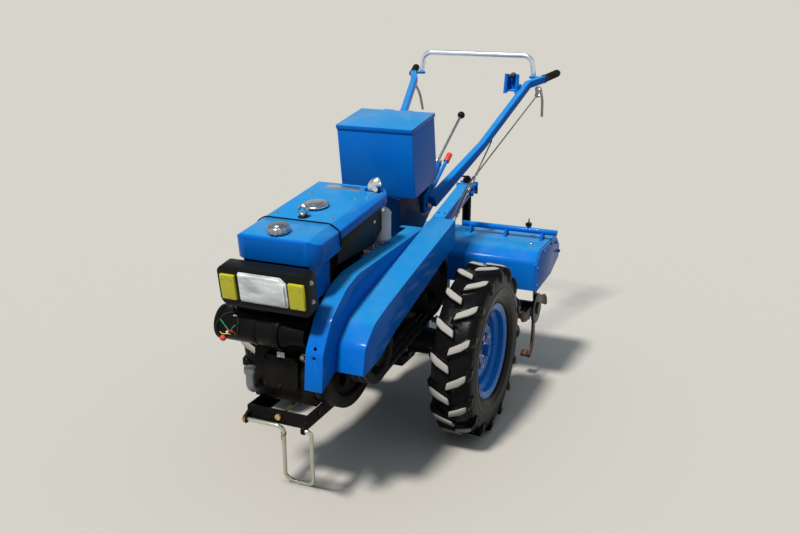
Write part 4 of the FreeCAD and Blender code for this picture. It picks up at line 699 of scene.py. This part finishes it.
for side in ("left", "right"):
    sign = 1 if side == "left" else -1
    walls = circleOf(30, 288, (0, 313), sign * 500, 6)
    fasten("vent", "tyre", "tyre_" + side, walls, (0, -sign, 0), 8, sink=0)
    fasten("vent", "tyre", "tyre_" + side, circleOf(54, 299, (0, 313), sign * 500, 2), (0, -sign, 0), (8, 8, 12), sink=0)
    rows = fastenerRows[("vent", "tyre", "wheel_" + side, None)]
    for k, row in enumerate(rows):
        outward = Vector((row[0].x - axle.x, 0, row[0].z - axle.z)).normalized()
        lean = (row[1] + outward * (1.2 + 0.5 * math.sin(5 * k))).normalized()
        rows[k] = (row[0], lean, row[2], row[3])
for (pattern, slot, body, material), rows in fastenerRows.items():
    finish = material or (nodeMaterials["tyre_left"] if slot == "tyre" else None)
    name = f"{pattern}_{slot}_{body}" + ("_" + material.name if material else "")
    grown(name, pointTree, pointMesh(name, rows), {"Piece": patterns[pattern]}, body, slot, finish, 30)
print("fasteners set")


# Hood: a blank plate, a washer under the eye, a rubber seal across the hood, and panels on the radiator core's sides
def facingTurn(normal, sideways=(0, 1, 0)):
    up = Vector(normal).normalized()
    side = (Vector(sideways) - up * up.dot(Vector(sideways))).normalized()
    return Matrix((side.cross(up), side, up)).transposed()


def onSurface(node, spot, towards, lift):
    place, facing = seated(node, at(*spot), towards)
    return place + facing * lift / 1000, facing


hoodSet = {"plate": (36, 124, 1.2), "plateAt": (312, 2, 1000), "eyeAt": (585, 5, 1000), "eyeWasher": 17.5}
s = hoodSet
work = bmesh.new()
place, facing = onSurface("fuel_tank", s["plateAt"], (0, 0, -1), s["plate"][2] / 2)
addBox(work, place, s["plate"], facingTurn(facing), 0.4)
finished("blankPlate", work, "chassis", "steel", extraMaterials["plate"])
work = bmesh.new()
place, facing = onSurface("fuel_tank", s["eyeAt"], (0, 0, -1), 0)
addTurned(work, [(7.4, 0), (s["eyeWasher"], 0), (s["eyeWasher"], 1.4), (s["eyeWasher"] - 1.2, 2.2), (7.4, 2.2)], place,
          facing, 32, ring=True)
finished("eyeWasher", work, "chassis", "black_paint")
sealSet = {"radius": 3.6, "depth": 0.4, "line": ((141, 66), (141, 32), (139, 22), (133, 15), (121, 7), (112, 2),
                                                 (100, 0), (50, 0), (0, 0))}
s = sealSet
slope = math.radians(7.1)
half = [(y - s["depth"] * (below > 20), below + s["depth"]) for y, below in s["line"]]
seal = [at(616 - below * math.sin(slope), y, 894 - below * math.cos(slope))
        for y, below in half + [(-y, below) for y, below in half[-2::-1]]]
tubes("hoodSeal", [seal], s["radius"], "chassis", "rubber", extraMaterials["seal"], 12, 120)
corePanels = {"x": (622, 742), "z": (690, 838), "thick": 2.0}
s = corePanels
work = bmesh.new()
for sign in (1, -1):
    middle = (sum(s["x"]) / 2, 300 * sign, sum(s["z"]) / 2)
    place, facing = onSurface("radiator_core", middle, (0, -sign, 0), s["thick"] / 2)
    addBox(work, place, (s["x"][1] - s["x"][0], s["thick"], s["z"][1] - s["z"][0]), None, 0.6)
finished("corePanels", work, "chassis", "blue_paint")
print("hood trimmed")


# Lamp, its lead, and the starter's loose-looking but tied wiring
def alongStarter(points, lift):
    return [onSurface("starter", (950, y, z), (-1, 0, 0), lift)[0] for y, z in points]


wireSet = {"radius": 1.5, "leads": {
    "greenWire": [[(-173, 612), (-160, 604), (-145, 590), (-134, 578)], [(-118, 603), (-128, 592), (-131, 578)]],
    "yellowWire": [[(-176, 574), (-166, 570), (-154, 572), (-142, 578)], [(-160, 565), (-150, 574), (-138, 570)]],
    "redWire": [[(-150, 596), (-142, 586), (-126, 584), (-120, 574)]],
    "blackWire": [[(-128, 634), (-156, 628), (-180, 606), (-186, 582), (-176, 558), (-160, 552)],
                  [(-120, 628), (-108, 606), (-110, 582), (-124, 566)], [(-180, 600), (-188, 574), (-188, 560)]]}}
s = wireSet
for colour, lines in s["leads"].items():
    for k, line in enumerate(lines):
        spots = alongStarter(line, s["radius"] * 1.5)
        spots[0], spots[-1] = alongStarter(line[:1] + line[-1:], -0.5)
        tubes(f"{colour}{k}", [spots], s["radius"] * (1.5 if colour == "blackWire" and not k else 1), "chassis", "rubber",
              extraMaterials[colour], 8, 40)
work = bmesh.new()
place, facing = onSurface("starter", (950, -166, 558), (-1, 0, 0), -1)
addTurned(work, [(0, 0), (9, 0), (9, 12), (7.5, 14), (0, 14)], place, facing, 18)
finished("redPlug", work, "chassis", "red_plastic")
work = bmesh.new()
for y, z, size in ((-126, 626, (5, 12, 4)), (-146, 577, (7, 5, 4))):
    place, facing = onSurface("starter", (950, y, z), (-1, 0, 0), 2)
    addBox(work, place, size, facingTurn(facing), 1)
finished("wireClips", work, "chassis", "steel", extraMaterials["whiteTag"])
work = bmesh.new()
for y in (-186, -60):
    addTurned(work, [(51.6, -7), (53.6, -7), (53.6, 7), (51.6, 7)], at(740, y, 588), (0, 1, 0), 48, ring=True)
finished("starterBands", work, "chassis", "black_paint")
work = bmesh.new()
addTurned(work, [(0, 0), (13, 0), (13, 9), (7, 10), (7, 17), (0, 17)], at(740, -199, 588), (0, -1, 0), 24)
addTurned(work, [(0, 0), (6, 0), (6, 13), (4, 14), (4, 22), (0, 22)], at(744, -130, 653), (0, -1, 0), 6)
finished("starterBoss", work, "chassis", "black_paint")
lampLead = [at(792, -112, 700), at(782, -126, 676), at(772, -134, 656), at(762, -140, 640), at(752, -142, 632)]
tubes("lampLead", [lampLead], 3, "chassis", "rubber", extraMaterials["blackWire"], 10, 30)
print("starter wired")


# Front of the engine: a blank tag, a plug with its copper washer, a brass fitting
frontSet = {"tagAt": (752, 10), "plug": (56, 491)}
s = frontSet
work = bmesh.new()
tagTop, below = seated("starter", at(s["tagAt"][0], s["tagAt"][1], 400), (0, 0, 1))
addBox(work, tagTop - Vector((0, 0, 0.017)), (0.8, 25, 17), None, 0.2)
finished("blankTag", work, "chassis", "plastic_black", extraMaterials["whiteTag"])
tagTie = [tagTop + Vector((0, dy, dz)) / 1000 for dy, dz in ((-4, 1.5), (-3, -5), (0, -10.5), (3, -5), (4, 1.5))]
tubes("tagTie", [tagTie], 0.7, "chassis", "rubber", extraMaterials["blackWire"], 6, 24)
work = bmesh.new()
place, facing = onSurface("engine", (950, *s["plug"]), (-1, 0, 0), -1)
addTurned(work, [(0, 0), (12, 0), (12, 4), (0, 4)], place, facing, 24)
finished("copperWasher", work, "chassis", "steel", extraMaterials["copper"])
work = bmesh.new()
addTurned(work, [(0, 0), (9.5, 0), (9.5, 9), (8, 11), (0, 11)], place + facing * 0.004, facing, 6)
finished("drainPlug", work, "chassis", "steel")
work = bmesh.new()
place, facing = onSurface("engine", (950, -92, 540), (-1, 0, 0), 4)
addBox(work, place, (30, 26, 12), facingTurn(facing), 2)
addTurned(work, [(0, 0), (8, 0), (8, 12), (5, 13), (5, 20), (0, 20)], place, facing, 6)
finished("oliveFitting", work, "chassis", "steel", extraMaterials["brass"])
print("engine front trimmed")


# Pipes and hoses that are fixed at both ends
def reaching(first, second, *between):
    # From a seat on one node to a seat on another, by way of free points; ends sink in a little
    lines = []
    for node, spot, towards in (first, second):
        place, facing = seated(node, at(*spot), towards)
        lines.append([place - facing * 0.003, place + facing * 0.012])
    return lines[0] + [at(*spot) for spot in between] + lines[1][::-1]


fuelHose = reaching(("radiator_core", (430, -300, 800), (0, 1, 0)), ("engine", (452, -300, 560), (0, 1, 0)),
                    (430, -162, 790), (436, -168, 740), (446, -166, 660), (452, -158, 590))
tubes("fuelHose", [fuelHose], 4.5, "chassis", "rubber", extraMaterials["blackWire"], 10, 40)
injectorPipe = reaching(("engine", (330, -300, 560), (0, 1, 0)), ("engine", (212, -300, 500), (0, 1, 0)),
                        (322, -140, 566), (290, -146, 566), (250, -142, 540), (222, -130, 512))
tubes("injectorPipe", [injectorPipe], 3, "chassis", "steel", None, 10, 40)
waterHoses = [reaching(("radiator_core", (470, -300, 730), (0, 1, 0)), ("engine", (300, 0, 900), (0, 0, -1)),
                       (440, -150, 738), (360, -140, 728), (306, -60, 700), (300, 0, 672))]
tubes("waterHose", waterHoses, 13, "chassis", "rubber", None, 16, 40)
print("hoses laid")


# Exhaust: the pot's seams and strap
exhaustSet = {"seams": (766, 848), "radius": 31.0}
s = exhaustSet
work = bmesh.new()
for z in s["seams"]:
    addTurned(work, [(r, h) for r, h in ((s["radius"] - 0.6, -2.5), (s["radius"] + 1.2, -1.8), (s["radius"] + 1.2, 1.8),
                                         (s["radius"] - 0.6, 2.5))], at(258, 112, z), (0, 0, 1), 48, ring=True)
finished("mufflerSeams", work, "chassis", "grey_paint")
print("exhaust trimmed")


# Wheels: valve stems and the moulded rings on the tyres' walls
wheelSet = {"rings": (197, 233), "ringWidth": 2.2, "ringHeight": 1.1, "valveAngle": 74}
s = wheelSet
for side, sign in (("left", 1), ("right", -1)):
    half = 370 * sign
    work = bmesh.new()
    for radius in s["rings"]:
        for look in (1, -1):
            place, facing = seated("tyre_" + side, at(0, 900 * look, 313 + radius), (0, -look, 0))
            y = place.y * 1000 + look * 0.1
            w, h = s["ringWidth"], s["ringHeight"]
            rows = [(radius - w, -0.8), (radius - w * 0.4, h), (radius + w * 0.4, h), (radius + w, -0.8)]
            addTurned(work, rows[::-1], at(0, y, 313), (0, look, 0), 96, ring=True)
    bmesh.ops.recalc_face_normals(work, faces=work.faces)
    finished("tyreRings_" + side, work, "wheel_" + side, "tyre", nodeMaterials["tyre_" + side])
    angle = math.radians(s["valveAngle"])
    outward = Vector((math.cos(angle), 0, math.sin(angle)))
    place, facing = seated("rim_" + side, at(100 * outward.x, half + 41 * sign, 313 + 100 * outward.z), outward)
    lean = (facing + Vector((0, 0.35 * sign, 0))).normalized()
    grown("valve_" + side, pointTree, pointMesh("valve_" + side, [(place, lean, 0.001, 0)]), {"Piece": patterns["valve"]},
          "wheel_" + side, "rubber")
print("wheels finished")


# Handlebars: ribs on the grips, a ring on the gear tube, nuts and springs on the rods
gripSet = {"start": (-992, 304.7, 1178), "end": (-1110, 338, 1197), "radius": 15.5, "ribs": 15, "rib": 0.9}
s = gripSet
work = bmesh.new()
rib = [(s["radius"] + s["rib"] * math.cos(a), 1.6 * s["rib"] * math.sin(a)) for a in (k * math.pi / 3 for k in range(6))]
addTurned(work, rib, Vector(), sides=28, ring=True)
ribMesh = bpy.data.meshes.new("gripRib")
work.to_mesh(ribMesh)
work.free()
ribPiece = bpy.data.objects.new("gripRib", ribMesh)
first, last = Vector(s["start"]), Vector(s["end"])
lines = []
for sign in (1, -1):
    ends = [first.lerp(last, share) for share in (0.14, 0.9)]
    lines.append([at(p.x, p.y * sign, p.z) for p in ends])
grown("gripRibs", rowTree, lineMesh("gripRibs", lines), {"Piece": ribPiece, "Count": s["ribs"]}, "chassis", "rubber")

leverSet = {"root": (-140, 18, 583), "knee": (-404, 50, 900), "collar": 20.3, "stick": 6.0}
s = leverSet
along = (Vector(s["knee"]) - Vector(s["root"])).normalized()
work = bmesh.new()
addTurned(work, [(19, -9), (s["collar"], -9), (s["collar"], 2), (17, 6), (11, 9), (s["stick"], 10), (s["stick"], 0.2),
                 (19, 0.2)], at(*s["knee"]), along, 32, ring=True)
finished("gearTubeRing", work, "chassis", "chrome")


def helix(start, end, radius, turns, perTurn=10):
    along = end - start
    turn = along.to_track_quat("Z", "Y").to_matrix()
    count = turns * perTurn
    spots = []
    for k in range(count + 1):
        a = 2 * math.pi * k / perTurn
        spots.append(start + along * k / count + turn @ Vector((radius * math.cos(a), radius * math.sin(a), 0)) / 1000)
    return spots


rodSet = {"brake": ((-600, 207, 964), (-250, 178, 700)), "clutch": ((-936, 292, 1110), (-420, 168, 806)),
          "spring": (0.46, 0.66), "nuts": (0.86, 0.9), "springRadius": 4.4, "wire": 1.1}
s = rodSet
coils, nuts = [], []
work = bmesh.new()
for sign in (1, -1):
    ends = {key: [at(p[0], p[1] * sign, p[2]) for p in s[key]] for key in ("brake", "clutch")}
    a, b = (ends["brake"][0].lerp(ends["brake"][1], share) for share in s["spring"])
    coils.append(helix(a, b, s["springRadius"], 22))
    for key in ends:
        low, high = ends[key]
        for share in s["nuts"]:
            spot = low.lerp(high, share)
            addTurned(work, [(2.8, 0), (6.2, 0), (6.2, 9), (2.8, 9)], spot, high - low, 6, ring=True)
finished("rodNuts", work, "chassis", "steel", None, 25)
tubes("returnSprings", coils, s["wire"], "chassis", "steel", None, 6, 330)
work = bmesh.new()
for sign in (1, -1):
    for x, z in ((-950, 1138), (-950, 1112)):
        addTurned(work, [(0, 0), (6, 0), (6, 3), (4.6, 4), (0, 4)], at(x, 285.6 * sign, z), (0, -sign, 0), 12)
        addTurned(work, [(0, 0), (6, 0), (6, 4), (4.6, 5), (0, 5)], at(x, 298.2 * sign, z), (0, sign, 0), 6)
finished("leverPins", work, "chassis", "steel")
cheekSet = {"at": (-858, 185, 1146), "width": 42, "front": ((26, -18), (8, 62)), "back": ((-30, -6), (-32, 54)), "lip": 12}
s = cheekSet
x, y, z = s["at"]
work = bmesh.new()
for label, reach in (("front", ((-9, 3), (s["width"] - 3, s["width"] + 9))), ("back", ((1, s["width"] - 1),))):
    (lowX, lowZ), (highX, highZ) = s[label]
    lean = Vector((highX - lowX, 0, highZ - lowZ))
    turn = Matrix((lean.normalized().cross(Vector((0, 1, 0))), Vector((0, 1, 0)), lean.normalized())).transposed()
    for near, far in reach:
        middle = at(x + (lowX + highX) / 2, y + (near + far) / 2, z + (lowZ + highZ) / 2)
        addBox(work, middle, (3, far - near, lean.length - 1), turn, 0.8)
block, _ = seated("handlebar_left", at(x - 3, y + s["width"] + 2, z + 6), (0, 1, 0))
reach = (block - at(x - 3, y + s["width"], z + 6)).y * 1000
addBox(work, at(x - 3, y + s["width"] + reach / 2, z + 8), (34, reach + 1, 22), None, 1.5)
finished("leverCheeks", work, "chassis", "blue_paint")
print("controls finished")


# Tiller and tail wheel: star knobs on the side bars, a collar on the tail post
knobSet = {"at": (-545, 392, 631), "radius": 8, "lobes": 5}
s = knobSet
work = bmesh.new()
for sign in (1, -1):
    x, y, z = s["at"]
    addTurned(work, [(0, 1), (6, 1), (6, 8), (s["radius"], 10), (s["radius"], 20), (5, 23), (3, 26), (2, 40), (0, 42)],
              at(x, y * sign, z), (0, 0, 1), 24)
    for k in range(s["lobes"]):
        a = 2 * math.pi * k / s["lobes"]
        addTurned(work, [(0, 10), (4.5, 10), (5.5, 12), (5.5, 21), (4.5, 23), (0, 23)],
                  at(x + s["radius"] * math.cos(a), y * sign + s["radius"] * math.sin(a), z), (0, 0, 1), 12)
finished("starKnobs", work, "chassis", "plastic_black")
work = bmesh.new()
addTurned(work, [(8, 0), (15, 0), (15, 8), (12, 9), (8, 9)], at(-908, 0, 732), (0, 0, 1), 6, ring=True)
addTurned(work, [(0, 0), (6, 0), (7, 6), (6, 20), (0, 22)], at(-908, -38, 742), (0, -1, 0.06), 16)
finished("tailScrewNut", work, "chassis", "black_paint")
print("tiller finished")


# Stand: a plated collar at its right end and a turn of tie wire on its leg
standSet = {"corner": (785, 30, 300), "foot": (612, -75, 6.5), "wire": 1.1, "turns": 4, "rod": 6.5}
s = standSet
top, foot = at(*s["corner"]), at(*s["foot"])
tie = helix(top.lerp(foot, 0.1), top.lerp(foot, 0.13), s["rod"] + s["wire"] * 0.8, s["turns"], 12)
end = tie[-1]
tie += [end + (foot - top) * share for share in (0.03, 0.07, 0.11)]
tubes("tieWire", [tie], s["wire"], "stand", "zinc", extraMaterials["brass"], 6, 120)
work = bmesh.new()
addTurned(work, [(6.6, 0), (12, 0), (12, 9), (6.6, 9)], at(785, -109, 300), (0, 1, 0), 6, ring=True)
addTurned(work, [(6.6, 9), (14, 9), (14, 11), (6.6, 11)], at(785, -109, 300), (0, 1, 0), 20, ring=True)
finished("standCollar", work, "stand", "zinc", nodeMaterials["draw_bolt"])
print("stand finished")


# Radiator fins in both side openings of the cooling body
finSet = {"size": (184, 13, 1.2), "low": 706, "high": 762, "count": 9, "centre": (507, 100)}
s = finSet
work = bmesh.new()
addBox(work, Vector(), s["size"])
finMesh = bpy.data.meshes.new("fin")
work.to_mesh(finMesh)
work.free()
finPiece = bpy.data.objects.new("fin", finMesh)
lines = []
for sign in (1, -1):
    lines.append([at(s["centre"][0], s["centre"][1] * sign, z) for z in (s["low"], s["high"])])
grown("coolingFins", rowTree, lineMesh("coolingFins", lines), {"Piece": finPiece, "Count": s["count"]}, "chassis",
      "black_paint")
for piece in (ribPiece, finPiece, *patterns.values()):
    bpy.data.objects.remove(piece)
print("cooling fins set")


# Floor
def makeFloor(s):
    bpy.ops.mesh.primitive_plane_add(size=s["size"])
    floor = bpy.context.object
    floor.name = "floor"
    # Pale to the eye and in gloss, and darker where it would only throw light back up
    material, tree, shader = newMaterial("paleFloor", s["seen"], 0.9, specular=0.0)
    tree.links.new(mixColour(tree, seenDirectly(tree), s["bounce"], s["seen"]), shader.inputs["Base Color"])
    floor.data.materials.append(material)


makeFloor(floorSet)
